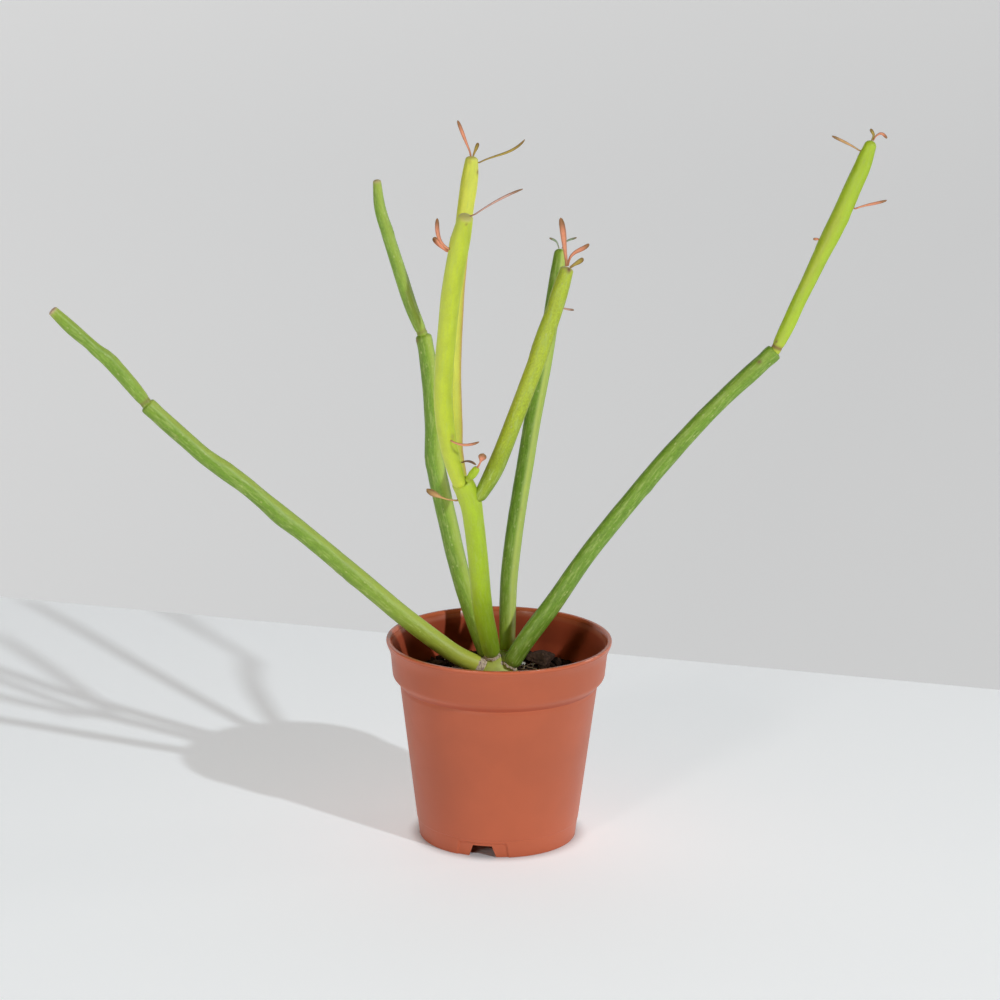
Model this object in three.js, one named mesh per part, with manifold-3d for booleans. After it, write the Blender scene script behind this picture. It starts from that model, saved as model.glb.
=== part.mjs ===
// A potted pencil-stemmed euphorbia: a small tapered nursery pot, its bed of potting soil, and a
// leggy plant whose round stems fork from one knuckle at the soil.
// Millimetres, +Z up. The pieces are laid out about the pot's axis; the finished group is then
// moved so that the middle of its footprint stands at the origin, on Z = 0.
import * as THREE from 'three';
import { mergeVertices } from 'three/addons/utils/BufferGeometryUtils.js';
import Module from 'manifold-3d';

const wasm = await Module();
wasm.setup();

// ---- driving dimensions -------------------------------------------------------------------
const GAP = 0.3; // air kept between touching pieces

const POT = {
  height: 54.3,
  rimRadius: 30,
  footRadius: 21,
  wall: 1.3,
  wallTopRadius: 26.3, // outside of the tapered wall where the collar begins
  collarBottom: 42,
  shelfHeight: 2.4, // of the sloping shelf under the collar
  shelfWidth: 1.9,
  skirtHeight: 4.8,
  skirtStep: 0.12,
  floorUnderside: 3.4,
  floorThickness: 1.2,
  sides: 56,
};
const FEET = {
  count: 3,
  firstAngle: THREE.MathUtils.degToRad(-101), // the notch nearest the front, a little to its left
  panel: { topWidth: 12.6, footWidth: 14.2, height: 4.1, depth: 0.45 },
  notch: { topWidth: 5.1, footWidth: 8, height: 3.2, depth: 6 },
};
const DRAIN = { count: 4, radius: 2.8, ringRadius: 12.5 };
const SOIL_LEVEL = 43.4;
const CROWN = {
  centre: new THREE.Vector3(-0.3, -0.2, 45.3),
  head: new THREE.Vector3(4.2, 4.2, 3.0), // half sizes of its rounded top
  rootRadius: 3.2,
  rootDepth: 9,
  collarLength: 3.4,
};
const STEM_SIDES = 12;
const LEAF_SIDES = 8;

// ---- finishes -----------------------------------------------------------------------------
const finish = (color, roughness) => new THREE.MeshStandardMaterial({ color, roughness, metalness: 0 });
const FINISHES = {
  potPlastic: finish(0xaf624a, 0.42),
  soil: finish(0x33221a, 1.0),
  bark: finish(0x4c3a30, 0.95),
  perlite: finish(0xd9d4c8, 0.9),
  corkyCrown: finish(0xb7b36a, 0.75),
  greenStem: finish(0x7f9b4a, 0.55),
  limeStem: finish(0xa9bd45, 0.5),
  yellowStem: finish(0xcfd35e, 0.5),
  orangeLeaf: finish(0xdb8a66, 0.6),
  oliveLeaf: finish(0xa68a45, 0.6),
};

// ---- solids -------------------------------------------------------------------------------
// A closed mesh as a solid that can be joined and cut.
function solidOf(geometry) {
  const bare = geometry.clone();
  bare.deleteAttribute('normal');
  bare.deleteAttribute('uv');
  const merged = mergeVertices(bare, 1e-5);
  return new wasm.Manifold(new wasm.Mesh({
    numProp: 3,
    vertProperties: new Float32Array(merged.attributes.position.array),
    triVerts: new Uint32Array(merged.index.array),
  }));
}

function geometryOf(solid) {
  const mesh = solid.getMesh();
  const geometry = new THREE.BufferGeometry();
  geometry.setAttribute('position', new THREE.BufferAttribute(mesh.vertProperties, 3));
  geometry.setIndex(new THREE.BufferAttribute(mesh.triVerts, 1));
  geometry.computeVertexNormals();
  return geometry;
}

// A profile of [radius, height] pairs turned about Z.
function turned(profile, sides) {
  const points = profile.map(([radius, height]) => new THREE.Vector2(radius, height));
  return new THREE.LatheGeometry(points, sides).rotateX(Math.PI / 2);
}

// An upright trapezoid on Z = 0, wider at its foot, cut radially into the skirt at an angle.
function radialWedge({ topWidth, footWidth, height }, innerRadius, outerRadius, angle) {
  const below = 1; // it starts under the foot, so that the cut is open there
  const outline = new THREE.Shape();
  outline.moveTo(-footWidth / 2, -below);
  outline.lineTo(footWidth / 2, -below);
  outline.lineTo(topWidth / 2, height);
  outline.lineTo(-topWidth / 2, height);
  const depth = outerRadius - innerRadius;
  const wedge = new THREE.ExtrudeGeometry(outline, { depth, bevelEnabled: false });
  wedge.rotateX(Math.PI / 2).rotateZ(Math.PI / 2); // outline upright, depth along +X
  wedge.translate(innerRadius, 0, 0).rotateZ(angle);
  return solidOf(wedge);
}

// ---- pot ----------------------------------------------------------------------------------
const FLOOR_TOP = POT.floorUnderside + POT.floorThickness;

// Outside radius of the tapered wall at a height.
function wallRadius(height) {
  return THREE.MathUtils.mapLinear(height, 0, POT.collarBottom, POT.footRadius, POT.wallTopRadius);
}

// Inside radius of the tapered wall at a height.
function boreRadius(height) {
  return wallRadius(height) - POT.wall;
}

function potShell() {
  const { height, rimRadius, wall, collarBottom, skirtHeight, skirtStep, sides } = POT;
  const shelfTop = collarBottom + POT.shelfHeight;
  const boreTop = collarBottom + 1.4;
  const collarRadius = wallRadius(collarBottom) + POT.shelfWidth;
  const profile = [
    [0, POT.floorUnderside],
    [POT.footRadius - wall, POT.floorUnderside],
    [POT.footRadius - wall + 0.2, 0],
    [POT.footRadius - skirtStep, 0],
    [wallRadius(skirtHeight) - skirtStep, skirtHeight],
    [wallRadius(skirtHeight), skirtHeight + 0.3],
    [wallRadius(collarBottom), collarBottom],
    [collarRadius, shelfTop],
    [rimRadius - 1.0, height - 2.8],
    [rimRadius - 0.1, height - 1.6],
    [rimRadius, height - 0.7],
    [rimRadius - 0.4, height],
    [rimRadius - 1.1, height],
    [rimRadius - 1.5, height - 0.5],
    [rimRadius - 2.2, height - 2.8],
    [collarRadius - wall, shelfTop + 0.6],
    [boreRadius(boreTop), boreTop],
    [boreRadius(FLOOR_TOP + 0.6), FLOOR_TOP + 0.6],
    [boreRadius(FLOOR_TOP) - 0.6, FLOOR_TOP],
    [0, FLOOR_TOP],
  ];
  let shell = solidOf(turned(profile, sides));
  for (let i = 0; i < FEET.count; i += 1) {
    const angle = FEET.firstAngle + (i * 2 * Math.PI) / FEET.count;
    const panelRadius = POT.footRadius - skirtStep - FEET.panel.depth;
    const notchRadius = POT.footRadius - FEET.notch.depth;
    shell = shell.subtract(radialWedge(FEET.panel, panelRadius, POT.footRadius + 3, angle));
    shell = shell.subtract(radialWedge(FEET.notch, notchRadius, POT.footRadius + 3, angle));
  }
  for (let i = 0; i < DRAIN.count; i += 1) {
    const angle = FEET.firstAngle + ((i + 0.5) * 2 * Math.PI) / DRAIN.count;
    const drill = new THREE.CylinderGeometry(DRAIN.radius, DRAIN.radius, 8, 20).rotateX(Math.PI / 2);
    drill.translate(DRAIN.ringRadius * Math.cos(angle), DRAIN.ringRadius * Math.sin(angle), FLOOR_TOP);
    shell = shell.subtract(solidOf(drill));
  }
  return geometryOf(shell);
}

// ---- stems --------------------------------------------------------------------------------
// Each row is a point on a stem's centre line and the stem's radius there: [x, y, z, radius].
const STEMS = {
  left_arm_lower: ['greenStem', [
    [-5.3, -3.2, 47.8, 2.3], [-9.2, -3.2, 49.3, 2.45], [-14.2, -3.5, 52.7, 2.5], [-24.4, -4, 60.7, 2.5],
    [-36.5, -4.8, 71.3, 2.5], [-51, -5.6, 84, 2.4], [-56, -6, 88, 2.6], [-60.7, -6.2, 92.2, 2.3],
    [-70, -6.7, 100.2, 2.3], [-73, -6.9, 102.1, 2.35], [-75.6, -7, 104, 2.15], [-84.8, -7.6, 112.5, 2.15],
    [-89.2, -7.9, 116.6, 2.2], [-91.6, -8, 118.9, 1.95]]],
  left_arm_upper: ['greenStem', [
    [-92.1, -8, 119.7, 1.7], [-94.6, -8.2, 123.1, 1.9], [-100, -8.7, 129.5, 1.95],
    [-101.4, -8.8, 131.1, 1.85],
    [-103.4, -9, 133.2, 1.45], [-107.6, -9.3, 136.5, 1.65], [-113.2, -9.8, 142.1, 1.75],
    [-115.6, -10, 144.4, 1.3]]],
  back_left_arm_lower: ['greenStem', [
    [-3.2, 3.4, 48.9, 2.25], [-4.5, 3.3, 52.7, 2.5], [-8.3, 3, 63.9, 2.5], [-11.4, 2.7, 75, 2.5],
    [-13.9, 2.4, 86.1, 2.55], [-16.3, 2, 97, 2.55], [-17.4, 1.9, 102.5, 2.4], [-17.7, 1.6, 113.4, 2.3],
    [-18.6, 1.3, 124.2, 2.2], [-19.8, 1.1, 133.6, 2.15], [-20.3, 1, 136, 1.8]]],
  back_left_arm_upper: ['greenStem', [
    [-20.8, 1, 137, 1.6], [-23, 0.7, 142.2, 1.7], [-26.3, 0.2, 152.3, 1.75], [-28.6, -0.1, 159.9, 1.6],
    [-30.2, -0.4, 164.9, 1.6], [-31.7, -0.7, 170.4, 1.45], [-32.3, -0.9, 175, 1.25],
    [-32.4, -1, 177.3, 1]]],
  middle_arm_lower: ['limeStem', [
    [-1.7, -2.8, 49.3, 2.25], [-2.5, -3.8, 54.2, 2.55], [-4.3, -6.3, 64, 2.6], [-5.2, -8.6, 72.8, 2.65],
    [-5.9, -10.8, 81.3, 2.65], [-6.6, -12.5, 88, 2.7], [-8, -14.9, 96.2, 2.7], [-9.9, -16.4, 101, 2.5]]],
  middle_front_shoot: ['limeStem', [
    [-10.8, -19.5, 102.6, 1.7], [-12.3, -21.5, 108, 2.15], [-13.1, -22.6, 111.4, 2.25],
    [-14.3, -25.2, 119.5, 2.4],
    [-14.7, -27.5, 125.7, 2.4], [-14.4, -31.5, 135.5, 2.4], [-13.6, -36, 145.8, 2.4],
    [-12.9, -40, 154.3, 2.45],
    [-11.6, -43.8, 163.2, 2.5], [-10.1, -47.2, 172, 2.4], [-9.3, -49, 175.7, 2.2],
    [-9, -49.7, 177.2, 1.8]]],
  middle_rear_shoot: ['yellowStem', [
    [-10.5, -14.2, 103, 1.7], [-11.5, -14.3, 107.3, 1.9], [-11.9, -14, 116, 2.05],
    [-12.3, -13.7, 127.8, 2.05],
    [-12.2, -13.4, 138.2, 2.05], [-11.2, -12.9, 156.4, 2.05], [-9.6, -12.4, 171.1, 2.1],
    [-8.5, -12.2, 179.6, 2.2], [-8.1, -12.1, 183.6, 2], [-7.9, -12, 185.5, 1.5]]],
  middle_bud: ['limeStem', [
    [-8, -20, 103.3, 0.85], [-7, -20.9, 104.8, 1.1], [-6, -21.8, 106.5, 0.9]]],
  middle_side_shoot: ['limeStem', [
    [-4.1, -15.9, 98.3, 1.8], [-2.9, -15.2, 101.2, 2.35], [-0.5, -14.2, 106.7, 2.3],
    [3.5, -12.3, 116.9, 2.25],
    [6.9, -10.6, 125.9, 2.25], [10.1, -9, 134.4, 2.3], [10.9, -8.5, 137.3, 2.4], [12.7, -7.5, 142.4, 2.2],
    [14.6, -6.4, 148.7, 2.2], [16.2, -5.4, 153.8, 2.15], [16.8, -5, 155.7, 1.7]]],
  back_arm: ['greenStem', [
    [2.2, 4.2, 49.6, 2], [2.2, 6.7, 57.3, 2.25], [2.5, 10.2, 67.4, 2.3], [3.6, 13.8, 77.6, 2.3],
    [5.1, 17.4, 87.7, 2.3], [6.8, 21, 97.8, 2.3], [8.5, 24.6, 108, 2.25], [11.7, 30.4, 124.6, 2.2],
    [13.5, 34.5, 136.1, 2.1], [14.8, 37.6, 145, 1.95], [15.7, 39.8, 151.6, 1.6]]],
  right_arm_lower: ['greenStem', [
    [3.5, -3.8, 48.1, 2.2], [7.8, -3.5, 56.2, 2.5], [11.8, -3.1, 61.3, 2.55], [15.4, -2.9, 66.6, 2.4],
    [22.5, -2.4, 77.4, 2.3], [30.2, -2, 87.7, 2.3], [42.1, -1.4, 102.6, 2.35], [50.4, -1, 112.2, 2.2],
    [59, -0.5, 121.4, 2.1], [63.6, -0.3, 125.7, 2.25], [68.1, -0.1, 130, 2.25], [70.6, 0, 132.4, 1.9]]],
  right_arm_upper: ['limeStem', [
    [71.8, 0, 134, 1.6], [73.3, 0, 137.4, 1.85], [77.3, 0, 147, 1.85], [79.5, 0, 151.8, 1.95],
    [81.6, 0, 156.6, 2.05], [83.7, 0, 161.4, 2.3], [85.9, 0, 166.1, 2.45], [89.8, 0, 175.6, 2.3],
    [91.8, 0, 180.4, 2.2], [93.6, 0, 185.2, 2], [94.5, 0, 188.3, 1.45]]],
};
// A stem's end is rounded over: [distance from the end in radii, share of the radius there].
const STEM_END = [[0, 0], [0, 0.6], [0.15, 0.85], [0.4, 1]];
const RING_SPACING = 6.5;

// The curve through a stem's points, and its radius as a function of the share of its length.
function centreLine(rows) {
  const curve = new THREE.CatmullRomCurve3(
    rows.map(([x, y, z]) => new THREE.Vector3(x, y, z)), false, 'centripetal');
  const length = curve.getLength();
  const reach = [0];
  for (let i = 1; i < rows.length; i += 1) {
    reach.push(reach[i - 1] + curve.points[i].distanceTo(curve.points[i - 1]));
  }
  const total = reach[reach.length - 1];
  const radiusAt = (share) => {
    const along = share * total;
    const i = Math.max(1, reach.findIndex((r) => r >= along - 1e-9));
    return THREE.MathUtils.mapLinear(along, reach[i - 1], reach[i], rows[i - 1][3], rows[i][3]);
  };
  return { curve, length, radiusAt };
}

// A closed body of revolution, bent so that its straight axis lies along the curve. The profile
// is a list of [share of the length, radius]; flatten thins the section from front to back.
function bentLathe(profile, curve, sides, flatten = 1) {
  const geometry = new THREE.LatheGeometry(
    profile.map(([share, radius]) => new THREE.Vector2(radius, share)), sides);
  const depthAxis = new THREE.Vector3(0, 1, 0);
  const place = geometry.attributes.position;
  const vertex = new THREE.Vector3();
  for (let i = 0; i < place.count; i += 1) {
    vertex.fromBufferAttribute(place, i);
    const share = THREE.MathUtils.clamp(vertex.y, 0, 1);
    const along = curve.getTangentAt(share);
    const across = new THREE.Vector3().crossVectors(depthAxis, along).normalize();
    const out = new THREE.Vector3().crossVectors(along, across);
    const point = curve.getPointAt(share);
    point.addScaledVector(across, vertex.z).addScaledVector(out, vertex.x * flatten);
    place.setXYZ(i, point.x, point.y, point.z);
  }
  return geometryOf(solidOf(geometry));
}

function stem(rows) {
  const { curve, length, radiusAt } = centreLine(rows);
  const rings = Math.max(2, Math.round(length / RING_SPACING));
  const foot = radiusAt(0);
  const tip = radiusAt(1);
  const profile = STEM_END.map(([inRadii, share]) => [(inRadii * foot) / length, share * foot]);
  for (let i = 1; i < rings; i += 1) profile.push([i / rings, radiusAt(i / rings)]);
  STEM_END.toReversed().forEach(([inRadii, share]) => {
    profile.push([1 - (inRadii * tip) / length, share * tip]);
  });
  return bentLathe(profile, curve, STEM_SIDES);
}

// ---- leaves -------------------------------------------------------------------------------
// Each leaf springs from a stem's centre line at a share of its length, and runs through its
// points to its tip. Width is at its broadest, beyond its middle.
const LEAVES = {
  rear_shoot_tip_leaf: ['orangeLeaf', 'middle_rear_shoot', 1,
    [[-9.4, -13.6, 189.4], [-11.6, -15, 195.2]], 0.95],
  rear_shoot_tip_stub_leaf: ['oliveLeaf', 'middle_rear_shoot', 1,
    [[-6.8, -12.6, 187.8], [-6.3, -13, 189.2]], 1],
  rear_shoot_side_leaf: ['oliveLeaf', 'middle_rear_shoot', 0.96,
    [[-4.6, -9.8, 184.5], [-0.8, -8.6, 185.4], [3.2, -7, 187], [5.5, -6, 189]], 0.65],
  front_shoot_left_leaf_a: ['orangeLeaf', 'middle_front_shoot', 0.865,
    [[-13.4, -45.6, 167.7], [-15.6, -46, 169.7], [-17.1, -46, 171.1]], 1.5],
  front_shoot_left_leaf_b: ['orangeLeaf', 'middle_front_shoot', 0.885,
    [[-14, -47.2, 168.9], [-15.3, -47.4, 170.7], [-16, -47.4, 173.4], [-16, -47.4, 176.2]], 1.1],
  front_shoot_tip_leaf: ['orangeLeaf', 'middle_front_shoot', 0.985,
    [[-5.5, -50, 178.6], [-3.1, -50, 180.2], [0.5, -50, 182.3], [4.9, -50, 184.2]], 0.65],
  front_shoot_low_leaf: ['orangeLeaf', 'middle_front_shoot', 0.16,
    [[-12.3, -26.4, 114.6], [-10.9, -26.8, 114.1], [-8.3, -27.5, 114], [-5.5, -27.8, 114.9]], 0.8],
  front_shoot_base_leaf: ['oliveLeaf', 'middle_front_shoot', 0.06,
    [[-9.2, -21.6, 108.1], [-7.8, -22, 108.3], [-6.3, -22.5, 107.5]], 0.6],
  bud_leaf: ['orangeLeaf', 'middle_bud', 1, [[-5.1, -22.8, 108.4], [-4.4, -23.6, 110.8]], 1.8],
  middle_arm_leaf: ['orangeLeaf', 'middle_arm_lower', 0.9,
    [[-12.6, -16.2, 96.4], [-15.6, -17.3, 97.6], [-17.4, -18.2, 98.8], [-18.9, -19, 100.1]], 1.6],
  side_shoot_tip_leaf_tall: ['orangeLeaf', 'middle_side_shoot', 1,
    [[16, -6.6, 160.6], [15.8, -7, 163.4], [14.8, -8, 169.2]], 1.5],
  side_shoot_tip_leaf_bent: ['orangeLeaf', 'middle_side_shoot', 1,
    [[17.6, -4.4, 158.4], [18.5, -4.2, 159.4], [20.5, -4.1, 160.3], [22.3, -4, 161.7]], 1.1],
  side_shoot_tip_leaf_short: ['oliveLeaf', 'middle_side_shoot', 1,
    [[19.2, -3.9, 156.6], [20.9, -3.2, 157.7]], 1.35],
  back_arm_tip_leaf_left: ['oliveLeaf', 'back_arm', 1, [[14.2, 40, 153.9], [12.6, 40, 154.6]], 0.6],
  back_arm_tip_leaf_right: ['oliveLeaf', 'back_arm', 1, [[17.2, 40.6, 153.6], [20, 41, 154.6]], 0.6],
  back_arm_side_leaf: ['orangeLeaf', 'back_arm', 0.86, [[17, 34.5, 136.4], [19.4, 34.2, 136.1]], 0.6],
  right_arm_left_leaf: ['orangeLeaf', 'right_arm_upper', 0.925,
    [[91.3, 0, 185.9], [89, 0, 187.3], [86.3, 0, 188.6], [84.2, 0, 189.6]], 0.75],
  right_arm_right_leaf: ['orangeLeaf', 'right_arm_upper', 0.65,
    [[92.4, 0, 171.3], [96.4, 0, 172.3], [98.9, 0, 173]], 0.8],
  right_arm_hook_leaf: ['orangeLeaf', 'right_arm_upper', 0.51, [[81.8, 0, 162.6], [80.2, 0, 162.7]], 0.7],
  right_arm_tip_leaf_left: ['oliveLeaf', 'right_arm_upper', 1,
    [[94.8, -0.4, 190.2], [94, -0.5, 191.6]], 0.85],
  right_arm_tip_leaf_right: ['orangeLeaf', 'right_arm_upper', 1,
    [[96, 0.4, 189.9], [97.1, 0.5, 190.3], [98.4, 0.5, 189]], 0.7],
};
// Half-width along a leaf, as [share of the length, share of the half-width]: a narrow stalk,
// broadest past the middle, and a blunt tip.
const LEAF_OUTLINE = [
  [0, 0], [0, 0.45], [0.3, 0.6], [0.55, 0.9], [0.75, 1], [0.92, 0.75], [1, 0.3], [1, 0],
];
const LEAF_THICKNESS = { least: 0.45, ofWidth: 0.4 };

// The midrib starts where it comes clear of its stem.
function midrib(stemRows, share, points) {
  const { curve, radiusAt } = centreLine(stemRows);
  const root = curve.getPointAt(share);
  const whole = new THREE.CatmullRomCurve3(
    [root, ...points.map((p) => new THREE.Vector3(...p))], false, 'centripetal');
  const axisPoints = curve.getSpacedPoints(160);
  const clear = radiusAt(share) + GAP + LEAF_THICKNESS.least / 2;
  const fromAxis = (point) => Math.min(...axisPoints.map((p) => p.distanceTo(point)));
  let start = 0;
  while (start < 0.8 && fromAxis(whole.getPointAt(start)) < clear) start += 0.01;
  const spots = 6;
  const kept = [];
  for (let i = 0; i <= spots; i += 1) {
    kept.push(whole.getPointAt(THREE.MathUtils.lerp(start, 1, i / spots)));
  }
  return new THREE.CatmullRomCurve3(kept, false, 'centripetal');
}

function leaf(stemRows, share, points, width) {
  const profile = LEAF_OUTLINE.map(([along, halfWidth]) => [along, (halfWidth * width) / 2]);
  const thickness = Math.max(LEAF_THICKNESS.least, LEAF_THICKNESS.ofWidth * width);
  return bentLathe(profile, midrib(stemRows, share, points), LEAF_SIDES, thickness / width);
}

// ---- crown and soil -----------------------------------------------------------------------
// The knuckle that the arms fork from: a rounded head, a short root stub under the soil, and a
// stubby collar pointing into the foot of each arm.
const ARMS = ['left_arm_lower', 'back_left_arm_lower', 'middle_arm_lower', 'back_arm', 'right_arm_lower'];

function crownKnuckle() {
  const { centre, head, rootRadius, rootDepth, collarLength } = CROWN;
  const ball = new THREE.SphereGeometry(1, 20, 12).scale(head.x, head.y, head.z);
  let knuckle = solidOf(ball.translate(centre.x, centre.y, centre.z));
  const root = turned([[0, -rootDepth], [rootRadius * 0.7, -rootDepth], [rootRadius, 1 - rootDepth],
    [rootRadius, 0], [0, 0]], 20);
  knuckle = knuckle.add(solidOf(root.translate(centre.x, centre.y, centre.z)));
  for (const arm of ARMS) {
    const { curve, radiusAt } = centreLine(STEMS[arm][1]);
    const direction = curve.getTangentAt(0);
    const radius = radiusAt(0) * 0.94;
    const collar = new THREE.CylinderGeometry(radius, radius, collarLength, 14);
    collar.translate(0, -collarLength / 2 - GAP, 0);
    const turn = new THREE.Quaternion().setFromUnitVectors(new THREE.Vector3(0, 1, 0), direction);
    collar.applyQuaternion(turn).translate(...curve.getPointAt(0).toArray());
    knuckle = knuckle.add(solidOf(collar));
  }
  for (const arm of ARMS) knuckle = knuckle.subtract(solidOf(roomForArm(STEMS[arm][1])));
  return knuckle;
}

// The first stretch of an arm, thicker and longer by the gap: what the crown leaves free for it.
function roomForArm(rows) {
  const { curve } = centreLine(rows);
  const foot = curve.getPointAt(0).addScaledVector(curve.getTangentAt(0), -GAP);
  const nearby = [[...foot.toArray(), rows[0][3]], ...rows.slice(1, 3)];
  return stem(nearby.map(([x, y, z, radius]) => [x, y, z, radius + GAP]));
}

function soilBed() {
  const bottom = FLOOR_TOP + GAP;
  const clearance = GAP + 0.02; // the bore's flat sides cut in a little between its corners
  const profile = [
    [0, bottom],
    [boreRadius(bottom) - clearance - 0.8, bottom],
    [boreRadius(bottom + 1) - clearance, bottom + 1],
    [boreRadius(SOIL_LEVEL - 0.8) - clearance, SOIL_LEVEL - 0.8],
    [boreRadius(SOIL_LEVEL) - clearance - 1, SOIL_LEVEL],
    [0, SOIL_LEVEL],
  ];
  // The socket is the crown's head and root stub, grown by the gap all round.
  const { centre, head, rootRadius, rootDepth } = CROWN;
  const ball = new THREE.SphereGeometry(1, 20, 12).scale(head.x + GAP, head.y + GAP, head.z + GAP);
  const wellRadius = rootRadius + GAP;
  const well = new THREE.CylinderGeometry(wellRadius, wellRadius, rootDepth + GAP, 20)
    .rotateX(Math.PI / 2).translate(0, 0, -(rootDepth + GAP) / 2);
  let bed = solidOf(turned(profile, POT.sides));
  for (const cut of [ball, well]) {
    bed = bed.subtract(solidOf(cut.translate(centre.x, centre.y, centre.z)));
  }
  return bed;
}

// Bark chunks and white grains lying on the soil: [middle of the footprint x, y, half sizes, turn].
const LITTER = {
  bark_chunk_large: ['bark', [11, 11.8], [4.1, 3.6, 1.9], 0.5],
  bark_chunk_right: ['bark', [19.4, 6.6], [1.9, 1.4, 0.8], 1.1],
  bark_chunk_back: ['bark', [-7.5, 16.5], [2.6, 1.8, 1.1], 2.3],
  bark_chunk_left: ['bark', [-16.5, 9.5], [2.2, 1.5, 0.9], 0.2],
  bark_chunk_front: ['bark', [6.5, -15.5], [2.4, 1.7, 0.9], 1.9],
  perlite_grain_a: ['perlite', [6.6, 10.6], [0.9, 0.7, 0.6], 0.7],
  perlite_grain_b: ['perlite', [-12.5, -11.5], [0.8, 0.7, 0.5], 0.3],
  perlite_grain_c: ['perlite', [15.2, -10.5], [0.7, 0.6, 0.5], 1.6],
};

function chunk([x, y], [halfX, halfY, halfZ], turn) {
  const shape = new THREE.DodecahedronGeometry(1, 0).scale(halfX, halfY, halfZ).rotateZ(turn);
  shape.computeBoundingBox();
  shape.translate(x, y, SOIL_LEVEL + GAP - shape.boundingBox.min.z);
  return geometryOf(solidOf(shape));
}

// ---- the whole plant in its pot -----------------------------------------------------------
const pottedEuphorbia = new THREE.Group();

function addPiece(name, geometry, finishName) {
  const piece = new THREE.Mesh(geometry, FINISHES[finishName]);
  piece.name = name;
  pottedEuphorbia.add(piece);
}

addPiece('pot', potShell(), 'potPlastic');
addPiece('soil', geometryOf(soilBed()), 'soil');
addPiece('crown', geometryOf(crownKnuckle()), 'corkyCrown');
for (const [name, [finishName, rows]] of Object.entries(STEMS)) addPiece(name, stem(rows), finishName);
for (const [name, [finishName, parent, share, points, width]] of Object.entries(LEAVES)) {
  addPiece(name, leaf(STEMS[parent][1], share, points, width), finishName);
}
for (const [name, [finishName, spot, halves, turn]] of Object.entries(LITTER)) {
  addPiece(name, chunk(spot, halves, turn), finishName);
}

// The middle of the plant's whole footprint goes to X = 0, Y = 0, and the foot of the pot to Z = 0.
const extent = new THREE.Box3().setFromObject(pottedEuphorbia);
const middle = extent.getCenter(new THREE.Vector3());
for (const piece of pottedEuphorbia.children) piece.position.set(-middle.x, -middle.y, -extent.min.z);

export default pottedEuphorbia;
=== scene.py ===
"""A young pencil-stemmed euphorbia in a small round nursery pot.

Every stem and leaf is a surface of two parameters, carried along the centre line of its CAD piece
and rounded off, ringed and scarred as the plant is. The pot is a turned profile with recessed
panels and cut notches, and the potting mix is a rough bed under loose crumbs, bark and grains.
Lengths are millimetres until a mesh is written, which is in metres.
"""

import math

import bpy
import numpy as np
from bpy.props import FloatProperty, FloatVectorProperty, IntProperty, PointerProperty
from mathutils import Matrix, Vector


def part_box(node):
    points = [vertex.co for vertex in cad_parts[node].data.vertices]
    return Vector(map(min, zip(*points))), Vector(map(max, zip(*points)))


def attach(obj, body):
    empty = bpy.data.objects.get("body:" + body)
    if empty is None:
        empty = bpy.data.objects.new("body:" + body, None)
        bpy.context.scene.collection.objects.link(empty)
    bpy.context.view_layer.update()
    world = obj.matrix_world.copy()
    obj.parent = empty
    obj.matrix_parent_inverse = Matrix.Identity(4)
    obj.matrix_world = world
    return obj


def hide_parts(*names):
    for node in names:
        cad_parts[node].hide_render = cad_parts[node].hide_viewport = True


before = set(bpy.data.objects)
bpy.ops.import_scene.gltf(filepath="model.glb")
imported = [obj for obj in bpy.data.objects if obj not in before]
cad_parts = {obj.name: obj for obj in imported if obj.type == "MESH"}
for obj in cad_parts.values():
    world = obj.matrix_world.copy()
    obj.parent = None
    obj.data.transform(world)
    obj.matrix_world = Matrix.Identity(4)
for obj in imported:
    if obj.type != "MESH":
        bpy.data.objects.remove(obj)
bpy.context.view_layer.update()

bl_info = {
    "name": "Potted Euphorbia",
    "version": (1, 0, 0),
    "blender": (4, 5, 0),
    "location": "3D View > Sidebar > Euphorbia",
    "description": "Builds a pencil-stemmed euphorbia in a nursery pot around its CAD model",
    "category": "Object",
}

MM = 0.001
FULL_TURN = 2 * math.pi
DEPTH = np.array([0.0, 1.0, 0.0])
UPWARD = np.array([0.0, 0.0, 1.0])


# ---- places taken from the frame ----------------------------------------------------------
def corners(node):
    """Lowest and highest corner of a CAD node, in millimetres."""
    return np.array([list(corner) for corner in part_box(node)]) / MM


POT_LOW, POT_HIGH = corners("pot")
POT_FOOT = np.array([*(POT_LOW[:2] + POT_HIGH[:2]) / 2, 0])
POT_HEIGHT = POT_HIGH[2]
RIM_RADIUS = (POT_HIGH[0] - POT_LOW[0]) / 2
SOIL_TOP = corners("soil")[1][2]
CROWN_LOW, CROWN_HIGH = corners("crown")
RING_GAP = 1.0  # rings of a CAD stem stand further apart than this along it, their corners closer


def unit(vectors):
    """Vectors along the last axis, made one long."""
    return vectors / np.linalg.norm(vectors, axis=-1, keepdims=True)


def solid_points(node):
    """The different corners of a CAD node's mesh, in millimetres."""
    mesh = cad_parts[node].data
    flat = np.empty(len(mesh.vertices) * 3, np.float32)
    mesh.vertices.foreach_get("co", flat)
    return np.unique(np.round(flat.reshape(-1, 3) / MM, 3), axis=0)


def main_direction(points):
    """The direction in which a set of points is longest, pointing upwards."""
    direction = np.linalg.svd(points - points.mean(0), full_matrices=False)[2][0]
    return direction if direction[2] > 0 else -direction


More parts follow.
